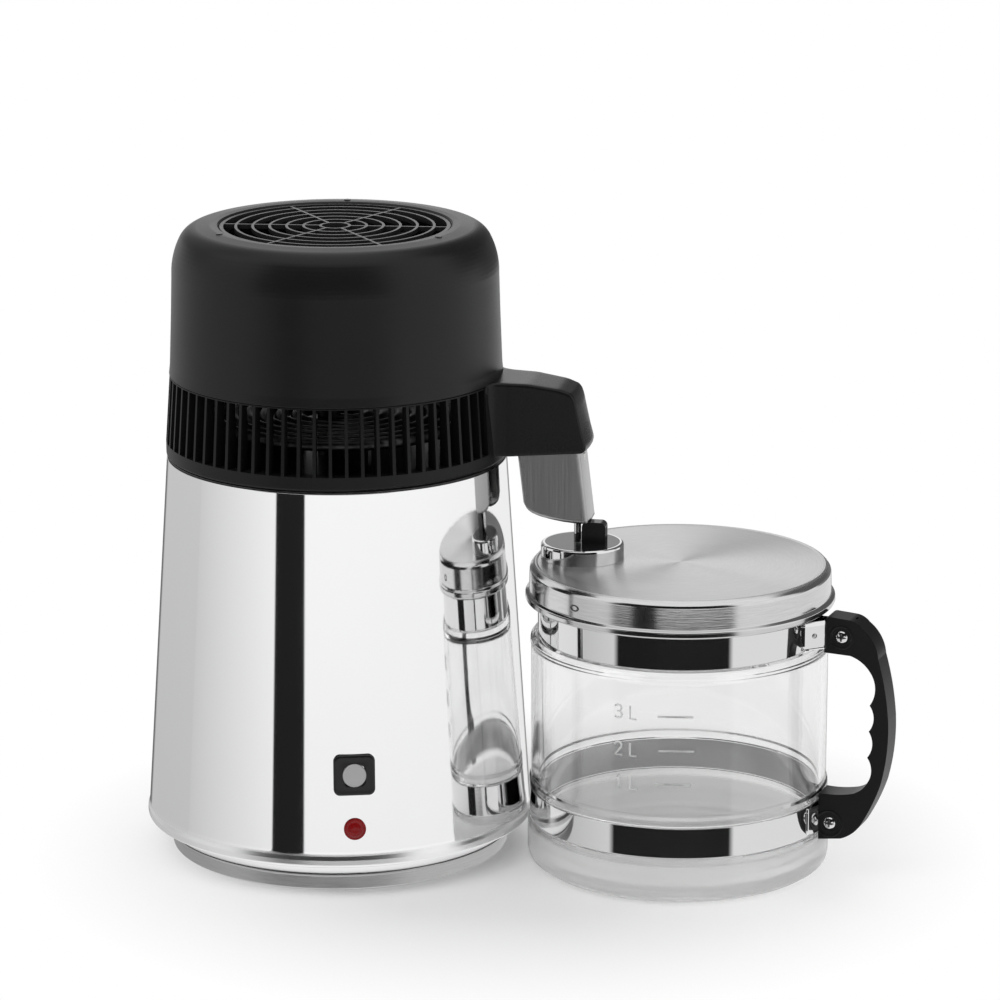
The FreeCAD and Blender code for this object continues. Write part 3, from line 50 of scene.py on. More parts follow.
SIDE_TOP = (96.1, 228.0)
SIDE_SLOPE = (SIDE_LOW[0] - SIDE_TOP[0]) / (SIDE_TOP[1] - SIDE_LOW[1])
SIDE_LEAN = math.atan(SIDE_SLOPE)
SHELL_SHEET = 0.8
INLET_HEIGHT = 40.0
INLET_HALF_WIDTH = 13.6
INLET_HALF_HEIGHT = 10.2
PANEL_AZIMUTH = -73.0
BUTTON_HEIGHT = 71.0
BUTTON_SIDE_RADIUS = 106.5
LAMP_HEIGHT = 40.2
ARM_FLOOR = 234.6
JUG_X = 196.8
HANDLE_AZIMUTH = -11.0
HANDLE_HALF = 7.5
BAND_SKIN = 0.12
CLASP_SHEET = 0.8
LID_TOP = 174.5
LOUVRE_AZIMUTH = -124.7
LOUVRE_HEIGHT = 163.8
LOUVRE_WIDTH_TO_HEIGHT = 1.7
LID_SKIRT = 84.6
CAP_X = 141.0
CAP_TOP = LID_TOP + 8.55
CAP_HOLE = 2.4
DRIP_X = 138.2


# ---------------------------------------------------------------- shader maths
class Shade:
    """A socket in a node tree, with Python's operators standing for Math nodes."""

    def __init__(self, nodes, socket):
        self.nodes = nodes
        self.socket = socket

    def math(self, operation, *others):
        """Adds a Math node that works on this socket and, where the operation takes two, on another."""
        values = dict(zip(("Value", "Value_001"), (self, *others)))
        return self.nodes.add("ShaderNodeMath", {"operation": operation}, **values)

    def __add__(self, other):
        return self.math("ADD", other)

    __radd__ = __add__

    def __sub__(self, other):
        return self.math("SUBTRACT", other)

    def __rsub__(self, other):
        return self * -1.0 + other

    def __mul__(self, other):
        return self.math("MULTIPLY", other)

    __rmul__ = __mul__

    def larger(self, other):
        return self.math("MAXIMUM", other)

    def clamp(self):
        return self.larger(0.0).math("MINIMUM", 1.0)


def reach(x, y):
    """The distance from the origin of a plan: the root of x squared plus y squared."""
    return (x * x + y * y).math("SQRT")


def over(value, line, sharp):
    """0 under a line and 1 well over it; between them it climbs by sharp for each metre or radian."""
    return ((value - line) * sharp).clamp()


def under(value, line, sharp):
    """1 well under a line and 0 over it, as over turned round."""
    return ((line - value) * sharp).clamp()


def find_socket(sockets, name):
    """A node's socket by its identifier, or by its place in the row."""
    if isinstance(name, int):
        return sockets[name]
    return next(one for one in sockets if one.identifier == name)


class Nodes:
    """A node tree, and the one method that adds a node to it."""

    def __init__(self, tree):
        self.tree = tree

    def feed(self, slot, item):
        """Links a socket, or sets it to a value; a colour is given by its red, green and blue."""
        if isinstance(item, Shade):
            self.tree.links.new(item.socket, slot)
        elif slot.type == "RGBA":
            slot.default_value = (*item, 1.0)
        else:
            slot.default_value = item

    def add(self, kind, settings=None, output=0, **sockets):
        """Adds a node: its settings first, then the values or links of its sockets.

        It gives back one output, or as many as a tuple of their names asks for.
        """
        made = self.tree.nodes.new(kind)
        for name, item in (settings or {}).items():
            setattr(made, name, item)
        for name, item in sockets.items():
            self.feed(find_socket(made.inputs, name), item)
        if isinstance(output, tuple):
            return [Shade(self, find_socket(made.outputs, name)) for name in output]
        return Shade(self, find_socket(made.outputs, output))

    def split(self, place):
        """The x, y and z of a vector."""
        return self.add("ShaderNodeSeparateXYZ", output=("X", "Y", "Z"), Vector=place)

    def vector(self, operation, place, other):
        return self.add("ShaderNodeVectorMath", {"operation": operation}, Vector=place, Vector_001=other)

    def noise(self, place, scale, detail=3.0, roughness=0.55):
        return self.add("ShaderNodeTexNoise", output="Fac", Vector=place, Scale=scale, Detail=detail,
                        Roughness=roughness)

    def bump(self, height, strength, distance):
        return self.add("ShaderNodeBump", Strength=strength, Distance=distance, Height=height)

    def mix(self, factor, low, high):
        """A colour between two, by a factor."""
        return self.add("ShaderNodeMix", {"data_type": "RGBA"}, "Result_Color", Factor_Float=factor,
                        A_Color=low, B_Color=high)


class Material(Nodes):
    """A material with a Principled shader, whose patterns run on object coordinates."""

    def __init__(self, name, **constants):
        self.data = bpy.data.materials.new(name)
        self.data.use_nodes = True
        super().__init__(self.data.node_tree)
        self.shader = self.tree.nodes["Principled BSDF"]
        self.set(**constants)
        self.place = self.add("ShaderNodeTexCoord", output="Object")

    def set(self, **sockets):
        """Feeds sockets of the shader, each named in small letters."""
        for name, item in sockets.items():
            self.feed(self.shader.inputs[name.replace("_", " ").title().replace("Ior", "IOR")], item)

    def height(self):
        """The height of a point over the table."""
        return self.split(self.place)[2]

    def stretched(self, x, y, z):
        """Object coordinates multiplied along the axes, so that a pattern on them shrinks by as much."""
        return self.vector("MULTIPLY", self.place, (x, y, z))

    def about(self, centre):
        """The x, y and z of object coordinates counted from a centre."""
        return self.split(self.vector("SUBTRACT", self.place, centre))

    def polar(self, centre, around, along, out):
        """Coordinates that run round a vertical axis, up it and out from it, each scaled."""
        x, y, z = self.about(centre)
        angle = y.math("ARCTAN2", x)
        return self.add("ShaderNodeCombineXYZ", X=angle * around, Y=z * along, Z=reach(x, y) * out)

    def blend(self, factor, other):
        """Mixes a second shader into the first by a factor, and shows the mixture."""
        blended = self.add("ShaderNodeMixShader", Fac=factor, Shader=Shade(self, self.shader.outputs[0]),
                           Shader_001=other)
        self.feed(self.tree.nodes["Material Output"].inputs["Surface"], blended)


# ---------------------------------------------------------------- materials
def grey(tone):
    return (tone, tone, tone)


def scaled(colour, share, lift=0.0):
    """A colour whose parts are multiplied by a share and lifted, up to white."""
    return tuple(min(part * share + lift, 1.0) for part in colour)


def mirror_steel(name, tone=0.93, dull_below=-1.0):
    """Polished stainless steel: nearly a mirror, with faint cloudy wiping marks and fine polishing lines.

    It is duller below a height, where the sheet was rolled into a bead.
    """
    made = Material(name, metallic=1.0)
    clouds = made.noise(made.stretched(9, 9, 5), 2.0, 4.0)
    lines = made.noise(made.stretched(60, 60, 1400), 1.0, 2.0)
    dull = under(made.height(), dull_below, 900.0)
    made.set(base_color=made.mix(clouds, (tone - 0.03, tone - 0.03, tone - 0.025), grey(tone)),
             roughness=clouds * 0.05 + lines * 0.02 + dull * 0.24 + 0.015,
             normal=made.bump(lines, 0.012, 0.0002))
    return made.data


def brushed_steel(name, centre, tone, roughness):
    """Stainless steel brushed round an axis: hair lines that follow the circle on sides and on tops."""
    made = Material(name, metallic=1.0, anisotropic=0.75)
    lines = made.noise(made.polar(centre, 7.0, 1600.0, 1600.0), 1.0, 3.0, 0.65)
    broad = made.noise(made.polar(centre, 1.2, 60.0, 60.0), 1.0, 2.0)
    made.set(base_color=made.mix(lines, grey(tone - 0.12), grey(tone + 0.08)),
             roughness=lines * 0.12 + broad * 0.06 + (roughness - 0.08),
             normal=made.bump(lines, 0.10, 0.0003))
    return made.data


def lid_steel(name, centre, top):
    """Lid steel brushed round its axis: brighter on the upright skirt and duller on the flat top."""
    made = Material(name, metallic=1.0, anisotropic=0.9)
    lines = made.noise(made.polar(centre, 7.0, 1600.0, 1600.0), 1.0, 3.0, 0.65)
    broad = made.noise(made.polar(centre, 1.6, 40.0, 60.0), 1.0, 2.0)
    flat = over(made.height(), top - 0.0016, 900.0)
    made.set(base_color=made.mix(lines, grey(0.56), grey(0.76)),
             roughness=lines * 0.05 + broad * 0.06 + flat * 0.20 + 0.05,
             normal=made.bump(lines, 0.04, 0.0002))
    return made.data


def satin_sheet(name, tone, roughness):
    """Sheet steel with a satin finish brushed up and down."""
    made = Material(name, metallic=1.0)
    lines = made.noise(made.stretched(900, 900, 14), 1.0, 3.0, 0.6)
    made.set(base_color=made.mix(lines, grey(tone - 0.06), grey(tone + 0.05)),
             roughness=lines * 0.10 + (roughness - 0.05),
             normal=made.bump(lines, 0.06, 0.0002))
    return made.data


def painted_top_steel(name, centre, radius, height):
    """Polished steel whose top, inside a radius about a centre and over a height, is painted glossy black as
    a painted dark reflection.
    """
    made = Material(name)
    x, y, z = made.about(centre)
    # the chrome top is painted black here: a painted dark reflection
    painted_top = under(reach(x, y), radius, 8000.0) * over(z, height, 20000.0)
    clouds = made.noise(made.place, 60.0, 4.0)
    steel = made.mix(clouds, (0.74, 0.74, 0.745), grey(0.80))
    made.set(base_color=made.mix(painted_top, steel, (0.012, 0.012, 0.013)), metallic=1.0 - painted_top,
             roughness=clouds * 0.06 + painted_top * 0.12 + 0.02, normal=made.bump(clouds, 0.02, 0.0002))
    return made.data


def plain_metal(name, tone, roughness, tint=(1.0, 1.0, 1.0)):
    """Bare metal with a slightly uneven surface."""
    made = Material(name, metallic=1.0)
    grain = made.noise(made.place, 240.0, 4.0)
    made.set(base_color=made.mix(grain, scaled(tint, tone - 0.08), scaled(tint, tone + 0.05)),
             roughness=grain * 0.15 + (roughness - 0.07), normal=made.bump(grain, 0.08, 0.0002))
    return made.data


def moulded(name, colour, roughness, depth=0.00006, specular=0.5):
    """Moulded plastic: a fine spark-eroded grain and slightly uneven gloss."""
    made = Material(name, specular_ior_level=specular)
    sparks = made.noise(made.place, 2600.0, 3.0, 0.6)
    flow = made.noise(made.place, 14.0, 3.0)
    made.set(base_color=made.mix(flow, scaled(colour, 0.86), scaled(colour, 1.12, 0.002)),
             roughness=flow * 0.10 + sparks * 0.08 + (roughness - 0.09),
             normal=made.bump(sparks, 0.35, depth))
    return made.data


def rubbery(name, colour):
    """Soft rubber or silicone: dull, a little dusty."""
    made = Material(name, specular_ior_level=0.35)
    dust = made.noise(made.place, 900.0, 4.0, 0.7)
    made.set(base_color=made.mix(dust, colour, scaled(colour, 1.25, 0.01)), roughness=dust * 0.2 + 0.6,
             normal=made.bump(dust, 0.2, 0.0001))
    return made.data


def clear_glass(name, foot_line):
    """Pressed clear glass: smooth, with the faint swells that a mould leaves, and a frosted foot.

    Under the foot's line the glass is rougher, and three tenths of its surface is a dull white.
    """
    made = Material(name, transmission_weight=1.0, ior=1.47)
    swell = made.noise(made.stretched(14, 14, 9), 1.0, 2.0)
    foot = under(made.height(), foot_line, 500.0)
    tint = made.mix(swell, grey(0.905), grey(0.95))
    made.set(base_color=made.mix(foot, tint, grey(1.0)), roughness=foot * 0.20,
             normal=made.bump(swell, 0.25, 0.0012))
    frost = made.add("ShaderNodeBsdfPrincipled", **{"Base Color": grey(0.88), "Roughness": 0.45})
    made.blend(foot * 0.30, frost)
    return made.data


def frosted_glass(name):
    """The jug's glass where it is raised into marks: a little rough from the mould."""
    made = Material(name, transmission_weight=0.3, ior=1.47)
    grain = made.noise(made.place, 900.0, 3.0)
    made.set(base_color=made.mix(grain, (0.86, 0.87, 0.87), grey(0.97)), roughness=grain * 0.2 + 0.25,
             normal=made.bump(grain, 0.2, 0.0001))
    return made.data


def red_lens(name):
    """Red plastic over a dark lamp: glossy, in cells of a deeper and a lighter red."""
    made = Material(name, coat_weight=0.2, coat_roughness=0.1, ior=1.45, specular_ior_level=0.25)
    cells = made.noise(made.place, 700.0, 2.0)
    made.set(base_color=made.mix(cells, (0.15, 0.001, 0.002), (0.24, 0.002, 0.003)),
             roughness=cells * 0.1 + 0.22, normal=made.bump(cells, 0.1, 0.0001))
    return made.data


def felt(name, colour):
    """Pressed felt: dull, matted fibres that differ in colour."""
    made = Material(name, sheen_weight=0.3, specular_ior_level=0.2)
    fibres = made.noise(made.place, 1500.0, 5.0, 0.7)
    made.set(base_color=made.mix(fibres, scaled(colour, 0.6), scaled(colour, 1.6)),
             roughness=fibres * 0.2 + 0.75, normal=made.bump(fibres, 0.7, 0.0004))
    return made.data


# places in metres: the bead's top, the frosted foot's top and the radius of the cap's painted dark top
JUG_CENTRE = (JUG_X * MM, 0.0, 0.0)
BEAD_LINE = 0.0262
FOOT_LINE = 0.0235
PAINTED_TOP_RADIUS = 0.0212
STEEL_MIRROR = mirror_steel("polished body steel", dull_below=BEAD_LINE)
STEEL_BAND = mirror_steel("polished band steel", 0.80)
STEEL_RING = brushed_steel("brushed foot ring", (0.0, 0.0, 0.0), 0.52, 0.30)
STEEL_LID = lid_steel("brushed lid", JUG_CENTRE, LID_TOP * MM)
STEEL_CAP = painted_top_steel("polished cap steel with painted dark top", (CAP_X * MM, 0.0, 0.0), PAINTED_TOP_RADIUS, (CAP_TOP - 0.1) * MM)
# dark steel: the dark screws' own finish, and painted shade on the screw heads' recess bars and the lid's
# vent
STEEL_DARK = plain_metal("dark steel and painted shade", 0.14, 0.4)
STEEL_SATIN = satin_sheet("satin hood steel", 0.42, 0.24)
STEEL_PLAIN = plain_metal("plain steel", 0.52, 0.32)
# The stainless pieces inside are painted nearly black (tone 0.06) as painted shade, so that the inside of the
# head looks dark through the vent slots; bare stainless would be much brighter.
STEEL_INNER_PAINTED_DARK = plain_metal("inner stainless painted dark", 0.06, 0.36)
ALUMINIUM = plain_metal("cast aluminium", 0.58, 0.42)
BRASS = plain_metal("brass", 0.75, 0.3, (0.93, 0.76, 0.42))
BLACK_COVER = moulded("black head shell", (0.0070, 0.0070, 0.0075), 0.33, specular=0.25)
BLACK_RING = moulded("black vent ring", (0.0060, 0.0060, 0.0065), 0.40, specular=0.22)
BLACK_ARM = moulded("black arm", (0.0060, 0.0060, 0.0065), 0.28, specular=0.22)
BLACK_HANDLE = moulded("black handle", (0.0070, 0.0070, 0.0075), 0.36, specular=0.20)
BLACK_GRILLE = moulded("black grille", (0.016, 0.016, 0.017), 0.34)
BLACK_GLOSS = moulded("black gloss plastic", (0.008, 0.008, 0.009), 0.20, depth=0.00001, specular=0.4)
BUTTON_GREY = moulded("button grey", grey(0.37), 0.40)
RED = red_lens("red lamp lens")
RUBBER = rubbery("black rubber", grey(0.02))
SILICONE = rubbery("white silicone", (0.72, 0.72, 0.70))
CERAMIC = moulded("cream ceramic", (0.62, 0.58, 0.48), 0.3)
WHITE_PLASTIC = moulded("white plastic", (0.68, 0.68, 0.66), 0.4)
FELT = felt("carbon felt", grey(0.03))
MOTOR_PAINT = moulded("motor paint", (0.05, 0.05, 0.055), 0.35)
GLASS = clear_glass("clear jug glass", FOOT_LINE)
GLASS_MARK = frosted_glass("raised glass marks")


# ---------------------------------------------------------------- mesh helpers
def add_object(name, data):
    """Puts a mesh, a lamp or a camera into the scene."""
    made = bpy.data.objects.new(name, data)
    bpy.context.scene.collection.objects.link(made)
    return made


def add_piece(name, points, faces, material, body, replaces=(), normals=None):
    """Makes a smooth piece at the origin from its points and faces, and rides it on a body.

    Outward normals may be given, one for each point.
    """
    mesh = bpy.data.meshes.new(name)
    mesh.from_pydata(points.reshape(-1, 3).tolist(), [], faces)
    mesh.polygons.foreach_set("use_smooth", [True] * len(mesh.polygons))
    mesh.update()
    if normals is not None:
        mesh.normals_split_custom_set_from_vertices(normals.reshape(-1, 3).tolist())
    mesh.materials.append(material)
    made = add_object(name, mesh)
    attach(made, body)
    if replaces:
        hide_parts(*replaces)
    return made


def placed(made, matrix):
    """Moves a finished piece's mesh, made about the origin, to its place; its object stays at the origin."""
    made.data.transform(matrix)
    made.data.update()


def standing(place, across, up, out):
    """The matrix that puts a piece at a place in metres, with its X, Y and Z along three directions."""
    return Matrix.Translation(place) @ Matrix((across, up, out)).transposed().to_4x4()


def walled(made, thickness):
    """Gives a sheet a wall, half of it on either side."""
    wall = made.modifiers.new("wall", "SOLIDIFY")
    wall.thickness = thickness * MM
    wall.offset = 0.0


def at_height(plan, height):
    """Plan points (x, y) with a height added."""
    return np.concatenate((plan, np.full((len(plan), 1), height)), 1)


def grid_faces(rows, columns, close_rows=False, close_columns=True):
    """Quads of a grid whose points are stored row by row, facing along columns x rows."""
    row = np.arange(rows if close_rows else rows - 1)
    column = np.arange(columns if close_columns else columns - 1)
    row, column = (part.ravel() for part in np.meshgrid(row, column, indexing="ij"))
    above, beside = (row + 1) % rows, (column + 1) % columns
    corners = ((row, column), (row, beside), (above, beside), (above, column))
    return np.stack([line * columns + place for line, place in corners], 1).tolist()


def capped_faces(rows, columns):
    """Quads of a grid whose rows are closed rings, and one face over each end."""
    last = (rows - 1) * columns
    return grid_faces(rows, columns) + [list(range(columns))[::-1], list(range(last, last + columns))]


def rounded_path(corners, closed=True, steps=5):
    """Points and normals along a path whose corners are arcs that touch both sides.

    A corner is (x, y, fillet), and the normal points to the path's right.
    """
    given = np.array([corner[:2] for corner in corners], float)
    fillets = [corner[2] if len(corner) > 2 else 0.25 for corner in corners]
    count = len(given)
    points, normals = [], []
    for index in range(count):
        here = given[index]
        if not closed and index in (0, count - 1):
            other = given[1] if index == 0 else given[-2]
            way = (other - here) * (1 if index == 0 else -1)
            way = way / np.linalg.norm(way)
            points.append(here)
            normals.append((way[1], -way[0]))
            continue
        come, go = here - given[index - 1], given[(index + 1) % count] - here
        come_length, go_length = np.linalg.norm(come), np.linalg.norm(go)
        come, go = come / come_length, go / go_length
        turn = math.atan2(come[0] * go[1] - come[1] * go[0], float(come @ go))
        if abs(turn) < 1e-4:
            points.append(here)
            normals.append((come[1], -come[0]))
            continue
        slope = math.tan(abs(turn) / 2)
        cut = min(fillets[index] * slope, 0.48 * come_length, 0.48 * go_length)
        radius = cut / slope
        side = math.copysign(1.0, turn)
        inward = np.array((-come[1], come[0])) * side
        centre = here - come * cut + inward * radius
        parts = max(2, round(steps * abs(turn) / 0.8))
        for share in np.linspace(0, turn, parts + 1):
            cosine, sine = math.cos(share), math.sin(share)
            spoke = np.array((sine * inward[1] - cosine * inward[0], -sine * inward[0] - cosine * inward[1]))
            points.append(centre + spoke * radius)
            normals.append(spoke * side)
    return np.array(points), np.array(normals)


def arc_points(start, end, radius, parts=8):
    """Corners along the minor arc from start to end, both left out; a negative radius bulges to the right."""
    start, end = np.array(start, float), np.array(end, float)
    chord = end - start
    half = np.linalg.norm(chord) / 2
    side = math.copysign(1.0, radius)
    left = np.array((-chord[1], chord[0])) / (2 * half)
    centre = (start + end) / 2 - left * side * math.sqrt(max(radius ** 2 - half ** 2, 0))
    first = math.atan2(start[1] - centre[1], start[0] - centre[0])
    sweep = -side * 2 * math.asin(min(half / abs(radius), 1.0))
    angles = first + sweep * np.arange(1, parts) / parts
    x, y = centre[0] + abs(radius) * np.cos(angles), centre[1] + abs(radius) * np.sin(angles)
    return [(*point, 9.0) for point in zip(x, y)]


def turned(name, corners, material, body, replaces=(), centre=(0.0, 0.0), slices=256, closed=True,
           steps=5, skip=None):
    """Turns a profile about a vertical axis.

    Point = centre + (r cos a, r sin a, z) for an angle a and a profile point (r, z). A profile that starts
    and ends on the axis isn't closed, and its ends become poles. skip(x, y, z) says which faces are left out.
    """
    path, sides = rounded_path(corners, closed, steps)
    if not closed:
        path, sides = path[1:-1], sides[1:-1]
    angle = np.linspace(0, 2 * math.pi, slices, endpoint=False)
    cosine, sine = np.cos(angle), np.sin(angle)
    radius, height = path[:, :1], path[:, 1:]
    points = np.stack((radius * cosine + centre[0], radius * sine + centre[1], height + 0 * cosine), -1)
    normals = np.stack((sides[:, :1] * cosine, sides[:, :1] * sine, sides[:, 1:] + 0 * cosine), -1)
    points, normals = points.reshape(-1, 3), normals.reshape(-1, 3)
    faces = grid_faces(len(path), slices, close_rows=closed)
    if skip is not None:
        faces = [face for face in faces if not skip(*points[face].mean(0))]
    if not closed:
        low, high = len(points), len(points) + 1
        tips = [(*centre, corners[0][1]), (*centre, corners[-1][1])]
        upright = [(0, 0, math.copysign(1, side[1])) for side in (sides[0], sides[-1])]
        points, normals = np.concatenate((points, tips)), np.concatenate((normals, upright))
        ring = np.arange(slices)
        beside = (ring + 1) % slices
        top = (len(path) - 1) * slices
        faces += np.stack((ring * 0 + low, beside, ring), 1).tolist()
        faces += np.stack((top + ring, top + beside, ring * 0 + high), 1).tolist()
    return add_piece(name, points * MM, faces, material, body, replaces, normals)


def outward(points, faces):
    """The faces, all turned round if the volume they enclose comes out negative."""
    flat = points.reshape(-1, 3)
    first, second, third = (flat[[face[index] for face in faces]] for index in (0, 1, 2))
    last = flat[[face[-1] for face in faces]]
    volume = (np.cross(first, second) * third).sum() + (np.cross(first, third) * last).sum()
    return faces if volume > 0 else [face[::-1] for face in faces]


def rounded_ring(half_x, half_y, corner, steps=8):
    """Points of a rectangle with round corners, anticlockwise: a corner's centre plus its radius turned."""
    quarter = np.linspace(0, math.pi / 2, steps + 1)
    angle = np.concatenate([quarter + side * math.pi / 2 for side in range(4)])
    sign_x = np.repeat([1, -1, -1, 1], steps + 1)
    sign_y = np.repeat([1, 1, -1, -1], steps + 1)
    x = sign_x * (half_x - corner) + corner * np.cos(angle)
    y = sign_y * (half_y - corner) + corner * np.sin(angle)
    return np.stack((x, y), -1)


# ---------------------------------------------------------------- steel body
def side_radius(height):
    """The radius of the body's side at a height: it falls evenly from SIDE_LOW to SIDE_TOP."""
    return SIDE_LOW[0] - SIDE_SLOPE * (height - SIDE_LOW[1])


def side_frame(azimuth, height):
    """A place on the body's tapered side: local Z points straight out, local X runs round, local Y up."""
    angle = math.radians(azimuth)
    plan = Vector((math.cos(angle), math.sin(angle), 0))
    out = plan * math.cos(SIDE_LEAN) + Vector((0, 0, math.sin(SIDE_LEAN)))
    across = Vector((-math.sin(angle), math.cos(angle), 0))
    at = plan * side_radius(height) + Vector((0, 0, height))
    return standing(at * MM, across, out.cross(across), out)


def in_inlet(x, y, z):
    """Whether a point of the side lies in the rear inlet's cut-out."""
    return y > 0 and abs(x) < INLET_HALF_WIDTH and abs(z - INLET_HEIGHT) < INLET_HALF_HEIGHT


def make_shell():
    """The tapered side, one sheet thick, with a bead rolled into its foot and the inlet's hole behind."""
    outer = [(side_radius(z), z) for z in np.linspace(SIDE_LOW[1], SIDE_TOP[1], 60)[1:-1]]
    inner = [(radius - SHELL_SHEET, z) for radius, z in outer[::-1]]
    bead = [
        (97.4, 11.0, 0.3), (98.3, 10.5, 0.3), (104.2, 16.6, 1.2), (107.9, 17.5, 2.2), (110.6, 18.6, 2.4),
        (110.4, 22.4, 2.0), (109.62, 24.4, 1.5),
    ]
    rim = [(SIDE_TOP[0], SIDE_TOP[1], 0.3), (SIDE_TOP[0] - SHELL_SHEET, SIDE_TOP[1], 0.3)]
    inner_bead = [(SIDE_LOW[0] - SHELL_SHEET, SIDE_LOW[1], 2.0), (108.0, 19.0, 1.0), (103.4, 17.6, 1.0)]
    turned("shell_sheet", [*bead, *outer, *rim, *inner, *inner_bead], STEEL_MIRROR, "distiller",
           ("outer_shell",), slices=360, skip=in_inlet)


def make_base():
    """The brushed ring under the body: an upright wall with a flange above and a ledge inside."""
    turned("foot_ring", [
        (93.4, 0.5, 0.3), (96.4, 0.5, 1.0), (96.4, 8.8, 1.0), (99.0, 9.9, 0.5), (98.8, 10.4, 0.2),
        (92.2, 10.4, 0.3), (92.2, 5.4, 0.3), (88.4, 5.4, 0.2), (88.4, 4.2, 0.2), (93.4, 4.2, 0.2),
    ], STEEL_RING, "distiller", ("base_ring",))


# height, half width and corner radius of each square of the bezel, then height and radius of each circle
BEZEL_SQUARES = ((-1.6, 11.5, 3.6), (1.0, 11.5, 3.6), (1.5, 11.2, 3.4), (1.75, 10.7, 3.0), (1.8, 10.0, 2.6))
BEZEL_WELL = ((1.8, 7.9), (1.75, 7.35), (1.4, 6.95), (0.6, 6.85), (-6.0, 6.85))


def make_button():
    """The start button and its bezel, a stack of round-cornered squares that ends in a round well.

    The bezel's lowest row sinks by x^2 / (2 side radius), so that it follows the side.
    """
    rings = [at_height(rounded_ring(half, half, corner, 10), z) for z, half, corner in BEZEL_SQUARES]
    angle = np.arctan2(rings[0][:, 1], rings[0][:, 0])
    circle = np.stack((np.cos(angle), np.sin(angle)), -1)
    rings += [at_height(circle * radius, z) for z, radius in BEZEL_WELL]
    points = np.array(rings)
    points[0, :, 2] -= points[0, :, 0] ** 2 / (2 * BUTTON_SIDE_RADIUS)
    bezel = add_piece("bezel_frame", points * MM, grid_faces(*points.shape[:2]), BLACK_GLOSS, "distiller",
                      ("button_bezel",))
    placed(bezel, side_frame(PANEL_AZIMUTH, BUTTON_HEIGHT))
    cap = turned("button_cap", [
        (0, -10.0), (2.5, -10.0, 0.2), (2.5, -2.0, 0.2), (6.5, -2.0, 0.3), (6.5, 2.35, 0.5), (5.9, 2.75, 0.5),
        (5.3, 2.62, 0.4), (0, 2.5),
    ], BUTTON_GREY, "button", ("push_button",), closed=False, slices=96)
    placed(cap, side_frame(PANEL_AZIMUTH, BUTTON_HEIGHT))


def make_lamp():
    """The lamp's lens: a stem in the side, a flat rim and a domed middle."""
    lens = turned("lamp_lens", [
        (0, -6.15), (4.6, -6.15, 0.2), (4.6, 0.1, 0.2), (6.15, 0.1, 0.2), (6.15, 0.9, 0.3), (5.5, 1.15, 0.4),
        (5.1, 1.0, 0.3), (3.9, 2.0, 2.0), (2.0, 2.5, 3.0), (0, 2.6),
    ], RED, "distiller", ("indicator_lens",), closed=False, slices=96)
    placed(lens, side_frame(PANEL_AZIMUTH, LAMP_HEIGHT))


# ---------------------------------------------------------------- head
def make_head():
    """The black cover: a nearly upright side, two arcs over the shoulder, and a wall back inside."""
    turned("head_shell", [
        (91.5, 275.6, 0.2), (94.1, 275.6, 0.5), (93.5, 281.0, 20.0), (92.4, 310.0, 60.0), (91.8, 331.0, 30.0),
        *arc_points((91.8, 333.0), (87.0, 352.6), -42.4), (87.0, 352.6, 9.0),
        *arc_points((87.0, 352.6), (76.5, 359.2), -12.6), (76.5, 359.2, 9.0), (70.0, 359.95, 8.0),
        (66.0, 359.7, 0.7), (65.0, 358.9, 0.7), (64.8, 354.9, 0.3), (76.0, 356.4, 5.0), (84.6, 350.0, 10.0),
        (89.2, 333.0, 10.0),
    ], BLACK_COVER, "head", ("head_cover",), slices=320)


# ---------------------------------------------------------------- arm and hood
ARM_ROOT = 90.0
ARM_FLARE_END = 102.5
ARM_FLARE = 8.5
ARM_HALF = 18.5
ARM_CORNER = 2.6
ARM_LEAST_CORNER = 1.2
ARM_BOW = 0.9
ARM_TAPER = 0.19
ARM_TOP_EDGE = 1.8
ARM_LOW_EDGE = 1.0
# stations and the values there: the top's height by x, the nose's x by height, and the floor's height by x
ARM_TOP_LINE = ((88.0, 95.2, 112.3, 129.9, 136.0, 139.0, 143.0),
                (276.7, 276.6, 276.2, 273.6, 271.4, 269.9, 266.0))
ARM_NOSE_LINE = ((237.8, 239.4, 241.0, 243.0, 256.7, 267.3, 271.4),
                 (144.4, 145.5, 145.9, 145.8, 142.8, 140.4, 138.6))
ARM_FLOOR_LINE = ((88.0, 102.0, 147.0), (ARM_FLOOR, ARM_FLOOR, ARM_FLOOR + 3.0))


def blunt_nose(nose, half, corner, bow, parts):
    """Half of a blunt nose in plan, from its side to the middle line.

    First a quarter circle of the corner's radius, then x = nose - bow s^2, where s falls from 1 to 0.
    """
    turn = np.linspace(0, math.pi / 2, parts + 1)[1:]
    across = np.linspace(half - corner, 0, 7)[1:]
    front = nose - bow * (across / (half - corner)) ** 2
    x = np.concatenate((nose - bow - corner + corner * np.sin(turn), front))
    y = np.concatenate((half - corner + corner * np.cos(turn), across))
    return x, y


def both_sides(x, y):
    """Half of a plan mirrored to negative y, then joined at the middle line by the half itself in reverse."""
    return np.concatenate((x, x[-2::-1])), np.concatenate((-y, y[-2::-1]))


def arm_outline(front, inset):
    """Plan of the arm for a nose at x = front, moved inward by an inset.

    It is flared at the ring by a quarter ellipse, and its sides draw together evenly toward a blunt nose.
    """
    root = np.linspace(ARM_ROOT, ARM_FLARE_END, 12)
    share = (ARM_FLARE_END - root) / (ARM_FLARE_END - ARM_ROOT)
    half_root = ARM_HALF + ARM_FLARE * (1 - np.sqrt(np.clip(1 - share ** 2, 0, None)))
    nose, side, corner = front - inset, ARM_HALF - inset, max(ARM_CORNER - inset, ARM_LEAST_CORNER)
    straight = np.linspace(ARM_FLARE_END, nose - corner - ARM_BOW, 16)[1:]
    nose_x, nose_y = blunt_nose(nose, side, corner, ARM_BOW, 8)
    x = np.concatenate((root, straight, nose_x))
    y = np.concatenate((half_root - inset, 0 * straight + side, nose_y))
    y = y * (1 - ARM_TAPER * np.clip((x - ARM_FLARE_END) / (nose - ARM_FLARE_END), 0, 1))
    return both_sides(x, y)


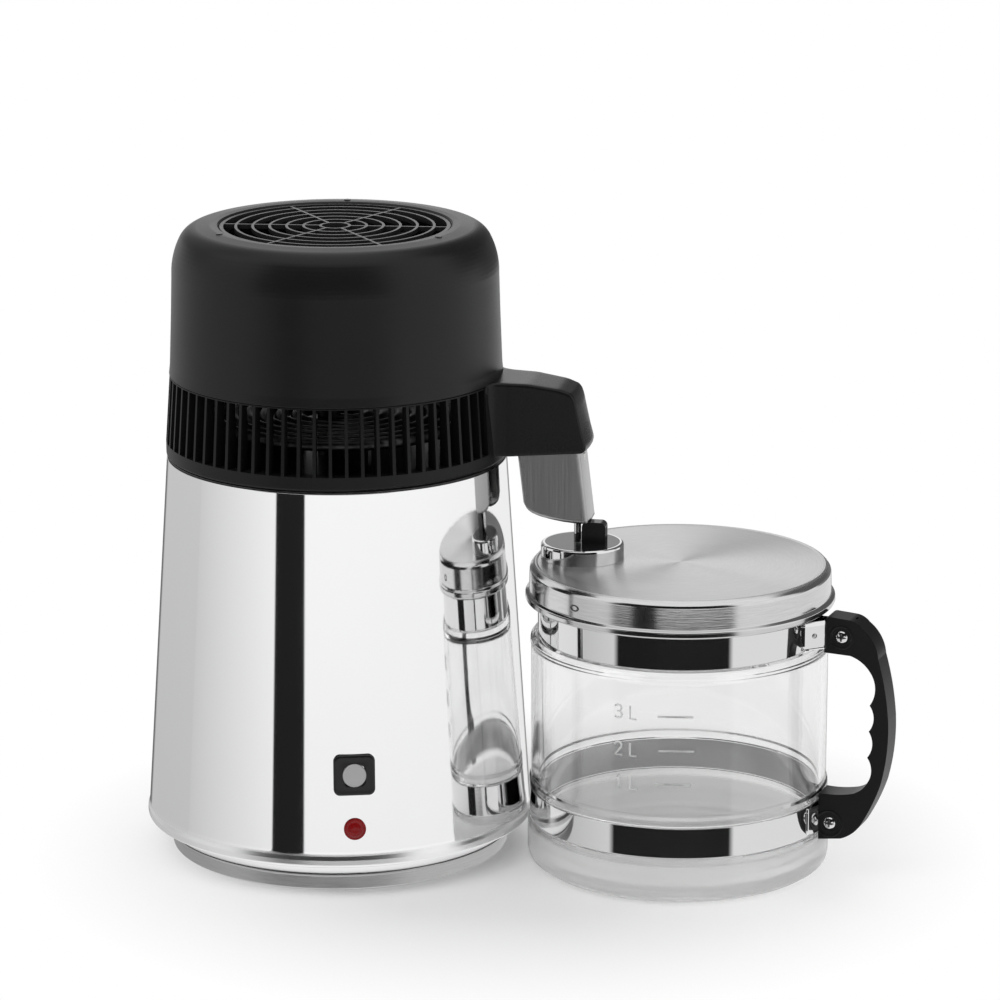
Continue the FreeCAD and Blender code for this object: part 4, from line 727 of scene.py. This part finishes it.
def make_arm():
    """Outlines stacked from a sloping floor to the top, and drawn in over both to the middle line.

    A point that is a share s up the wall stands at z = floor(x) + s (top(x) - floor(x)), and the nose of its
    outline follows ARM_NOSE_LINE. Quarter circles of insets round the lower and the upper edge.
    """
    low, high = ARM_NOSE_LINE[0][0] + ARM_LOW_EDGE, ARM_NOSE_LINE[0][-1] - ARM_TOP_EDGE
    x, y = arm_outline(ARM_NOSE_LINE[1][0], ARM_LOW_EDGE)
    rows = [np.stack((x, y * pull, np.interp(x, *ARM_FLOOR_LINE)), -1) for pull in (0.0, 0.45, 0.8)]

    def add_row(share, inset, lift):
        x, y = arm_outline(np.interp(low + share * (high - low) + lift, *ARM_NOSE_LINE), inset)
        floor = np.interp(x, *ARM_FLOOR_LINE) + ARM_LOW_EDGE
        top = np.interp(x, *ARM_TOP_LINE) - ARM_TOP_EDGE
        rows.append(np.stack((x, y, floor + (top - floor) * share + lift), -1))

    for turn in np.linspace(0, math.pi / 2, 4):
        add_row(0.0, ARM_LOW_EDGE * (1 - math.sin(turn)), -ARM_LOW_EDGE * math.cos(turn))
    for share in np.linspace(0.04, 1.0, 22):
        add_row(share, 0.0, 0.0)
    for turn in np.linspace(0, math.pi / 2, 7)[1:]:
        add_row(1.0, ARM_TOP_EDGE * (1 - math.cos(turn)), ARM_TOP_EDGE * math.sin(turn))
    x, y, z = rows[-1].T
    rows += [np.stack((x, y * pull, z), -1) for pull in (0.8, 0.5, 0.25, 0.0)]
    points = np.array(rows)
    columns = points.shape[1]
    starts = np.arange(len(rows)) * columns
    root = [*starts.tolist(), *(starts[::-1] + columns - 1).tolist()]
    faces = grid_faces(len(rows), columns, close_columns=False) + [root]
    add_piece("arm_shell", points * MM, faces, BLACK_ARM, "head", ("spout_arm",))


HOOD_BACK = 105.9
HOOD_NOSE = 140.9
HOOD_HALF = 12.05
HOOD_CORNER = 1.3
HOOD_BOW = 0.3
HOOD_LEAN = 0.12
HOOD_SHEET = 0.9
HOOD_TOP = ARM_FLOOR + 3.4
HOOD_EDGE = ((105.9, 106.8, 108.2, 110.3, 114.2, 120.5, 127.0, 133.4, 141.0),
             (207.4, 204.8, 202.9, 201.4, 199.8, 198.3, 197.2, 196.6, 196.4))


def make_hood():
    """A bent sheet with a wall: a U-shaped plan carried down a leaning line to the curved lower edge.

    Point = (x + lean (top - z), y, z), with z a share of the way from the top down to HOOD_EDGE at that x.
    """
    straight = np.linspace(HOOD_BACK, HOOD_NOSE - HOOD_CORNER - HOOD_BOW, 30)
    nose_x, nose_y = blunt_nose(HOOD_NOSE, HOOD_HALF, HOOD_CORNER, HOOD_BOW, 11)
    x, y = both_sides(np.concatenate((straight, nose_x)), np.concatenate((0 * straight + HOOD_HALF, nose_y)))
    share = np.linspace(0, 1, 28)[:, None]
    z = HOOD_TOP - (HOOD_TOP - np.interp(x, *HOOD_EDGE)) * share
    points = np.stack((x + HOOD_LEAN * (HOOD_TOP - z), y + 0 * z, z), -1)
    faces = [face[::-1] for face in grid_faces(*points.shape[:2], close_columns=False)]
    sheet = add_piece("hood_sheet", points * MM, faces, STEEL_SATIN, "head", ("spout_hood",))
    walled(sheet, HOOD_SHEET)


# ---------------------------------------------------------------- jug
def make_glass():
    """The jug: one wall, out along its floor and up its outside to the mouth, then down its inside."""
    jug = turned("jug_wall", [
        (0, 1.5), (70.4, 1.5, 1.0), (74.4, 0.0, 0.8), (79.0, 0.0, 3.0), (84.6, 3.6, 6.0), (85.4, 8.0, 4.0),
        (85.4, 23.6, 1.2), (84.6, 26.2, 0.8), (83.2, 26.8, 0.4), (83.2, 44.7, 0.4), (84.6, 45.7, 1.2),
        (84.6, 48.9, 1.6), (83.6, 50.7, 2.0), (83.6, 126.4, 2.0), (84.1, 128.8, 2.0), (84.0, 131.0, 1.5),
        (82.0, 133.3, 0.9), (78.8, 133.6, 0.5), (78.8, 152.6, 0.4), (80.8, 153.4, 0.6), (80.8, 168.2, 1.4),
        (79.0, 169.8, 0.8), (76.2, 169.8, 1.2), (75.0, 168.0, 1.0), (75.0, 134.4, 4.0), (79.8, 127.4, 6.0),
        (79.8, 15.0, 8.0), (71.8, 7.0, 8.0), (0, 7.0),
    ], GLASS, "jug", ("jug_glass",), centre=(JUG_X, 0), closed=False, slices=320, steps=6)
    jug.visible_shadow = False


MARK_RADIUS = 83.6
GLYPH_SHIFT = 4.2
BAR_HALF = 9.7
# a litre's number, where its word stands and where its bar stands, each as x and height
MARK_ROWS = (
    ("3", (179.3, 109.7), (207.0, 108.5)),
    ("2", (179.4, 88.5), (207.7, 88.9)),
    ("1", (179.6, 69.5), (206.2, 69.4)),
)
# the strokes of the marks, about the middle of each sign
GLYPHS = {
    "1": ((-0.9, 2.2), (0.3, 3.75), (0.3, -3.75)),
    "2": ((-1.9, 2.0), (-1.5, 3.2), (-0.3, 3.75), (1.1, 3.5), (1.9, 2.3), (1.7, 0.9), (-2.0, -3.7),
          (2.1, -3.7)),
    "3": ((-1.9, 2.9), (-0.4, 3.75), (1.2, 3.3), (1.8, 1.9), (1.0, 0.5), (-0.5, 0.2), (1.2, -0.1),
          (2.0, -1.7), (1.3, -3.2), (-0.3, -3.75), (-2.0, -3.0)),
    "L": ((-1.7, 3.75), (-1.7, -3.7), (2.0, -3.7)),
    "bar": ((-BAR_HALF, 0.0), (BAR_HALF, 0.0)),
}
# a low rail: how far each of its four edges stands beside the stroke and out of the glass
RAIL = np.array(((-0.55, -0.2), (-0.35, 0.4), (0.35, 0.4), (0.55, -0.2)))


def make_marks():
    """Litre marks raised from the glass: a low four-sided rail along each stroke, wrapped on the side.

    A stroke's point at x goes to the angle asin((x - jug x) / radius) - 90 degrees, at the mark's radius plus
    the rail's height.
    """
    strokes = []
    for number, (word_x, word_z), (bar_x, bar_z) in MARK_ROWS:
        for glyph, x, z in ((number, word_x - GLYPH_SHIFT, word_z), ("L", word_x + GLYPH_SHIFT, word_z),
                            ("bar", bar_x, bar_z)):
            strokes.append(np.array(GLYPHS[glyph]) + (x - JUG_X, z))
    all_points, all_faces, first = [], [], 0
    for stroke in strokes:
        along = np.gradient(stroke, axis=0)
        along /= np.linalg.norm(along, axis=1, keepdims=True)
        side = np.stack((along[:, 1], -along[:, 0]), -1)
        flat = stroke[:, None] + side[:, None] * RAIL[None, :, :1]
        angle = np.arcsin(flat[..., 0] / MARK_RADIUS) - math.pi / 2
        radius = MARK_RADIUS + RAIL[None, :, 1]
        points = np.stack((JUG_X + radius * np.cos(angle), radius * np.sin(angle), flat[..., 1]), -1)
        faces = outward(points - points.reshape(-1, 3).mean(0), capped_faces(*points.shape[:2]))
        all_faces += [[index + first for index in face] for face in faces]
        all_points.append(points.reshape(-1, 3))
        first += len(all_points[-1])
    add_piece("level_marks", np.concatenate(all_points) * MM, all_faces, GLASS_MARK, "jug")


# name, radius, lowest and highest point of each band
BANDS = (("neck_band", 79.8, 134.0, 152.2), ("foot_band", 84.2, 27.2, 44.3))


def make_bands():
    """Thin polished skins over the two bands, with their edges rounded."""
    for label, radius, low, high in BANDS:
        inside, outside = radius - 0.6, radius + BAND_SKIN
        low, high = low - 0.05, high + 0.05
        turned(label, [(inside, low, 0.1), (outside, low, 0.5), (outside, high, 0.5), (inside, high, 0.1)],
               STEEL_BAND, "jug", centre=(JUG_X, 0), slices=320)


HANDLE_ANGLE = math.radians(HANDLE_AZIMUTH)
HANDLE_AWAY = (math.cos(HANDLE_ANGLE), math.sin(HANDLE_ANGLE), 0.0)
HANDLE_OUT = (math.sin(HANDLE_ANGLE), -math.cos(HANDLE_ANGLE), 0.0)
# name, radius at the band, degrees back from the handle, reach of the end, lowest and highest point
CLASPS = (("high", 79.95, 13.0, 88.8, 135.0, 151.2), ("low", 84.35, 12.0, 86.4, 28.2, 43.4))


def make_clasps():
    """Straight sheets that run from the bands to the handle's near side, each with one round rivet.

    A sheet's point is start + (end - start) share, at heights from low to high.
    """
    for label, radius, swing, reached, low, high in CLASPS:
        start_angle = HANDLE_ANGLE - math.radians(swing)
        start = radius * np.array((math.cos(start_angle), math.sin(start_angle)))
        end = np.array(HANDLE_AWAY[:2]) * reached + np.array(HANDLE_OUT[:2]) * (HANDLE_HALF + 0.1)
        flat = start + (end - start) * np.linspace(0, 1, 9)[:, None] + (JUG_X, 0)
        rows = np.array([at_height(flat, z) for z in np.linspace(low, high, 7)])
        faces = grid_faces(*rows.shape[:2], close_columns=False)
        sheet = add_piece(f"{label}_clasp", rows * MM, faces, STEEL_BAND, "jug")
        walled(sheet, CLASP_SHEET)
        along = Vector((*(end - start), 0)).normalized()
        normal = along.cross(Vector((0, 0, 1)))
        middle = Vector((*flat[4], (low + high) / 2)) + normal * CLASP_SHEET / 2
        rivet = turned(f"{label}_clasp_rivet", [
            (0, -1.0), (1.5, -1.0, 0.1), (1.5, 0.2, 0.3), (0.8, 0.6, 0.8), (0, 0.65),
        ], STEEL_PLAIN, "jug", closed=False, slices=64)
        placed(rivet, standing(middle * MM, along, normal.cross(along), normal))


def handle_frame(reached, height):
    """A place on the handle's near side: local Z points out of that side, local X away from the jug."""
    away, out = Vector(HANDLE_AWAY), Vector(HANDLE_OUT)
    at = Vector((JUG_X, 0, height)) + away * reached + out * HANDLE_HALF
    return standing(at * MM, away, out.cross(away), out)


# name, reach from the jug's axis, height and radius of each boss; half lengths of the two dark bars that
# paint a recess's shade
HANDLE_BOSSES = (("high", 97.4, 142.2, 7.0), ("low", 92.4, 33.3, 8.0))
RECESS_SHADE_BARS = ((2.2, 0.55), (0.55, 2.2))


def make_handle_screws():
    """Round bosses on the handle's near side, and domed screw heads with a cross of dark bars on top as
    painted shade of the cross recess.
    """
    for label, reached, height, boss in HANDLE_BOSSES:
        place = handle_frame(reached, height)
        ring = turned(f"{label}_boss", [
            (4.0, -0.4, 0.1), (boss, -0.4, 0.1), (boss, 0.3, 0.3), (boss - 0.7, 0.5, 0.3),
            (boss - 1.5, 0.2, 0.3), (4.4, 0.2, 0.3), (4.0, -0.2, 0.2),
        ], BLACK_HANDLE, "jug", slices=96)
        placed(ring, place)
        head = turned(f"{label}_screw_head", [
            (0, -2.4), (3.6, -2.4, 0.1), (3.7, -0.3, 0.4), (2.8, 0.5, 1.2), (1.4, 0.85, 2.0), (0, 0.9),
        ], STEEL_BAND, "jug", closed=False, slices=96)
        placed(head, place)
        for index, (half_x, half_y) in enumerate(RECESS_SHADE_BARS):
            # dark bars standing out of the dome: painted shade of the cross recess
            rows = np.array([at_height(rounded_ring(half_x, half_y, 0.3, 3), z) for z in (0.2, 1.0)])
            faces = outward(rows, capped_faces(*rows.shape[:2]))
            bar = add_piece(f"{label}_painted_recess_shade_{index}", rows * MM, faces, STEEL_DARK, "jug")
            placed(bar, place)


def make_lid():
    """The jug's lid: a flat top in a slightly raised rim, and a skirt with a rolled lower edge."""
    top = LID_TOP
    turned("lid_shell", [
        (0, top - 1.3), (79.2, top - 1.3, 0.4), (80.8, top - 0.8, 0.6), (83.8, top - 3.4, 2.4),
        (83.8, 154.0, 0.2), (84.8, 153.3, 0.6), (87.0, 153.9, 1.0), (87.0, 157.2, 1.0), (84.9, 158.4, 0.6),
        (LID_SKIRT, top - 3.2, 3.0), (81.6, top, 2.6), (80.0, top - 0.5, 0.8), (0, top - 0.5),
    ], STEEL_LID, "lid", ("jug_lid",), centre=(JUG_X, 0), closed=False, slices=320)


def make_louvre():
    """A small oval vent pressed out of the lid's skirt: a turned ring drawn out sideways, in dark steel as
    painted shade of the vent.
    """
    angle = math.radians(LOUVRE_AZIMUTH)
    out = Vector((math.cos(angle), math.sin(angle), 0))
    across = Vector((-math.sin(angle), math.cos(angle), 0))
    ring = turned("lid_louvre", [
        (1.0, -0.6, 0.1), (2.0, -0.6, 0.1), (1.9, 0.35, 0.3), (1.5, 0.6, 0.3), (1.1, 0.3, 0.2),
    ], STEEL_DARK, "lid", slices=64)
    at = Vector((JUG_X, 0, LOUVRE_HEIGHT)) + out * LID_SKIRT
    placed(ring, standing(at * MM, across * LOUVRE_WIDTH_TO_HEIGHT, Vector((0, 0, 1)), out))


def make_cap():
    """A low round cover with a wall, whose hole is moved from its middle to stand under the nozzle."""
    low, high, hole = LID_TOP - 0.48, CAP_TOP, CAP_HOLE
    made = turned("cap_shell", [
        (23.4, low, 0.2), (23.4, high - 1.6, 0.3), (23.1, high - 0.5, 0.7), (22.2, high, 0.6),
        (hole, high, 0.1), (hole, high - 1.0, 0.1), (21.6, high - 1.0, 0.4), (22.4, high - 2.4, 0.4),
        (22.4, low, 0.2),
    ], STEEL_CAP, "lid", ("drip_cap",), centre=(CAP_X, 0), slices=192)
    spots = np.empty(len(made.data.vertices) * 3)
    made.data.vertices.foreach_get("co", spots)
    spots = spots.reshape(-1, 3)
    near = np.hypot(spots[:, 0] - CAP_X * MM, spots[:, 1]) < 2 * hole * MM
    spots[near, 0] += (DRIP_X - CAP_X) * MM
    made.data.vertices.foreach_set("co", spots.ravel())
    made.data.update()


# ---------------------------------------------------------------- looks of the carried-over parts
NODE_LOOKS = {
    STEEL_PLAIN: ("base_cover", "base_screws", "heating_element", "heater_clamp", "clamp_nut", "thermal_fuse",
                  "motor_bracket", "motor_screws", "fan_shaft"),
    # inside pieces: stainless painted nearly black, as painted shade
    STEEL_INNER_PAINTED_DARK: ("boiler_pot", "head_pan", "steam_riser", "condenser_coil", "coil_supports", "outlet_tube"),
    STEEL_BAND: ("drip_nozzle", "upper_band", "lower_band", "handle_nuts"),
    STEEL_DARK: ("grille_screws", "handle_screws"),
    ALUMINIUM: ("heater_plate",),
    BRASS: ("inlet_pins",),
    BLACK_RING: ("switch_body", "indicator_body", "indicator_nut", "power_inlet", "vent_ring",
                 "fan_impeller"),
    BLACK_GRILLE: ("fan_grille",),
    BLACK_HANDLE: ("jug_handle",),
    BLACK_GLOSS: ("drip_inlet",),
    MOTOR_PAINT: ("fan_motor",),
    CERAMIC: ("thermostat",),
    WHITE_PLASTIC: ("terminal_block", "filter_cup"),
    RUBBER: ("rubber_feet",),
    SILICONE: ("pan_gasket", "outlet_sleeve", "lid_gasket"),
    FELT: ("charcoal_pad",),
}


def dress_nodes():
    """Gives each carried-over node its finish."""
    for material, labels in NODE_LOOKS.items():
        for label in labels:
            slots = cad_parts[label].data.materials
            slots.clear()
            slots.append(material)


# ---------------------------------------------------------------- camera, stage and light
CAMERA_PLACE = (0.54875, -2.40563, 0.84009)
CAMERA_RIGHT = (0.98258, 0.18584, 0.0)
CAMERA_WAY = (-0.17988, 0.95108, -0.25119)
CAMERA_LENS = 161.6
CAMERA_SENSOR = 36.0
CAMERA_FARTHEST = 50.0


def make_camera():
    """A long lens that looks along CAMERA_WAY, with its frame level along CAMERA_RIGHT."""
    data = bpy.data.cameras.new("camera")
    data.sensor_width = CAMERA_SENSOR
    data.sensor_fit = "HORIZONTAL"
    data.lens = CAMERA_LENS
    data.clip_end = CAMERA_FARTHEST
    camera = add_object("camera", data)
    right, back = Vector(CAMERA_RIGHT).normalized(), -Vector(CAMERA_WAY).normalized()
    camera.matrix_world = standing(Vector(CAMERA_PLACE), right, back.cross(right), back)
    bpy.context.scene.camera = camera


def window(value, low, high, soft):
    """1 between low and high and 0 outside, with edges that are soft wide, for angles in degrees."""
    low, high, soft = (math.radians(part) for part in (low, high, soft))
    return over(value, low, 1 / soft) * under(value, high, 1 / soft)


WORLD_LIGHT = 0.7


def make_world():
    """An even white studio that lights at WORLD_LIGHT and shows at 1 to the camera and through glass.

    Reflections alone also show its dark zones, each between two azimuths and two heights in degrees: black
    flags in front (azimuth -90), greyer ones behind (90), a grey wall at the left and a dim floor.
    """
    world = bpy.data.worlds.new("studio")
    world.use_nodes = True
    bpy.context.scene.world = world
    sky = Nodes(world.node_tree)
    x, y, z = sky.split(sky.add("ShaderNodeTexCoord", output="Generated"))
    around, rise = y.math("ARCTAN2", x), z.math("ARCSINE")

    narrow_flag = window(around, -118.6, -98.4, 0.8) * window(rise, -15.0, -3.0, 1.0)
    broad_flags = window(rise, -21.5, -12.6, 1.2) + window(rise, -4.5, 50.0, 1.5)
    broad_flags = window(around, -137.0, -37.0, 5.0) * broad_flags
    dim_floor = window(rise, -60.0, -7.0, 9.0) * 0.14
    front = narrow_flag.larger(broad_flags) * 0.985

    high_back = window(around, 16.0, 94.0, 10.0) + window(around, 112.0, 176.0, 10.0) * 0.6
    high_back = high_back * window(rise, 2.0, 60.0, 6.0) * 0.88
    right_back = window(around, 42.0, 97.0, 5.0) * window(rise, -9.9, 30.0, 0.6) * 0.80
    low_back = window(around, 84.0, 124.0, 6.0) * window(rise, -34.0, -12.2, 0.8) * 0.72
    behind = high_back.larger(right_back).larger(low_back)

    wall = window(around, 104.0, 400.0, 6.0) + window(around, -400.0, -106.0, 80.0)
    wall = (wall * window(rise, -40.0, 30.0, 8.0)).clamp() * 0.37

    reflected = (1.0 - front.larger(dim_floor)) * (1.0 - behind) * (1.0 - wall)
    glossy, direct, through = sky.add("ShaderNodeLightPath", output=(
        "Is Glossy Ray", "Is Camera Ray", "Is Transmission Ray"))
    seen = (direct + through + glossy).math("MINIMUM", 1.0)
    shown = 1.0 - glossy * (1.0 - reflected)
    background = sky.tree.nodes["Background"]
    sky.feed(background.inputs["Strength"], (seen * (1.0 - WORLD_LIGHT) + WORLD_LIGHT) * shown)
    sky.feed(background.inputs["Color"], grey(1.0))


FLOOR_HALF = 6.0
SHADOW_CENTRE = 0.1
SHADOW_REACH = 0.12


def make_stage():
    """A pale floor that keeps the shadow near the distiller and turns to the white background farther out."""
    floor = Material("pale floor", roughness=0.9, specular_ior_level=0.0)
    mottle = floor.noise(floor.place, 3.0)
    floor.set(base_color=floor.mix(mottle, grey(0.93), grey(0.945)))
    x, y, _ = floor.split(floor.place)
    direct, through = floor.add("ShaderNodeLightPath", output=("Is Camera Ray", "Is Transmission Ray"))
    white = over(reach(x - SHADOW_CENTRE, y), SHADOW_REACH, 6.5) * (direct + through).clamp()
    floor.blend(white, floor.add("ShaderNodeEmission"))
    mesh = bpy.data.meshes.new("floor")
    corners = ((-1, -1), (1, -1), (1, 1), (-1, 1))
    mesh.from_pydata([(x * FLOOR_HALF, y * FLOOR_HALF, 0) for x, y in corners], [], [(0, 1, 2, 3)])
    mesh.materials.append(floor.data)
    made = add_object("floor", mesh)
    made.visible_glossy = False


# name, place and the place it points to in metres, side in metres and power in watts
SOFTBOXES = (
    ("key softbox", (-1.1, -1.3, 1.9), (0.05, 0, 0.15), 1.4, 12.0),
    ("fill softbox", (1.7, -0.9, 1.3), (0.1, 0, 0.15), 1.2, 6.0),
    ("back softbox", (0.3, 1.7, 1.6), (0.05, 0, 0.2), 1.4, 6.0),
)


def make_lights():
    """Square softboxes that light the distiller and aren't seen in its steel."""
    for name, place, aim, side, power in SOFTBOXES:
        data = bpy.data.lights.new(name, "AREA")
        data.shape = "SQUARE"
        data.size = side
        data.energy = power
        lamp = add_object(name, data)
        lamp.location = place
        lamp.rotation_euler = (Vector(aim) - Vector(place)).to_track_quat("-Z", "Y").to_euler()
        lamp.visible_glossy = False


make_camera()
make_shell()
make_base()
make_button()
make_lamp()
make_head()
make_arm()
make_hood()
make_glass()
make_bands()
make_marks()
make_clasps()
make_handle_screws()
make_lid()
make_louvre()
make_cap()
dress_nodes()
make_world()
make_stage()
make_lights()
bpy.context.scene.view_settings.view_transform = "Standard"
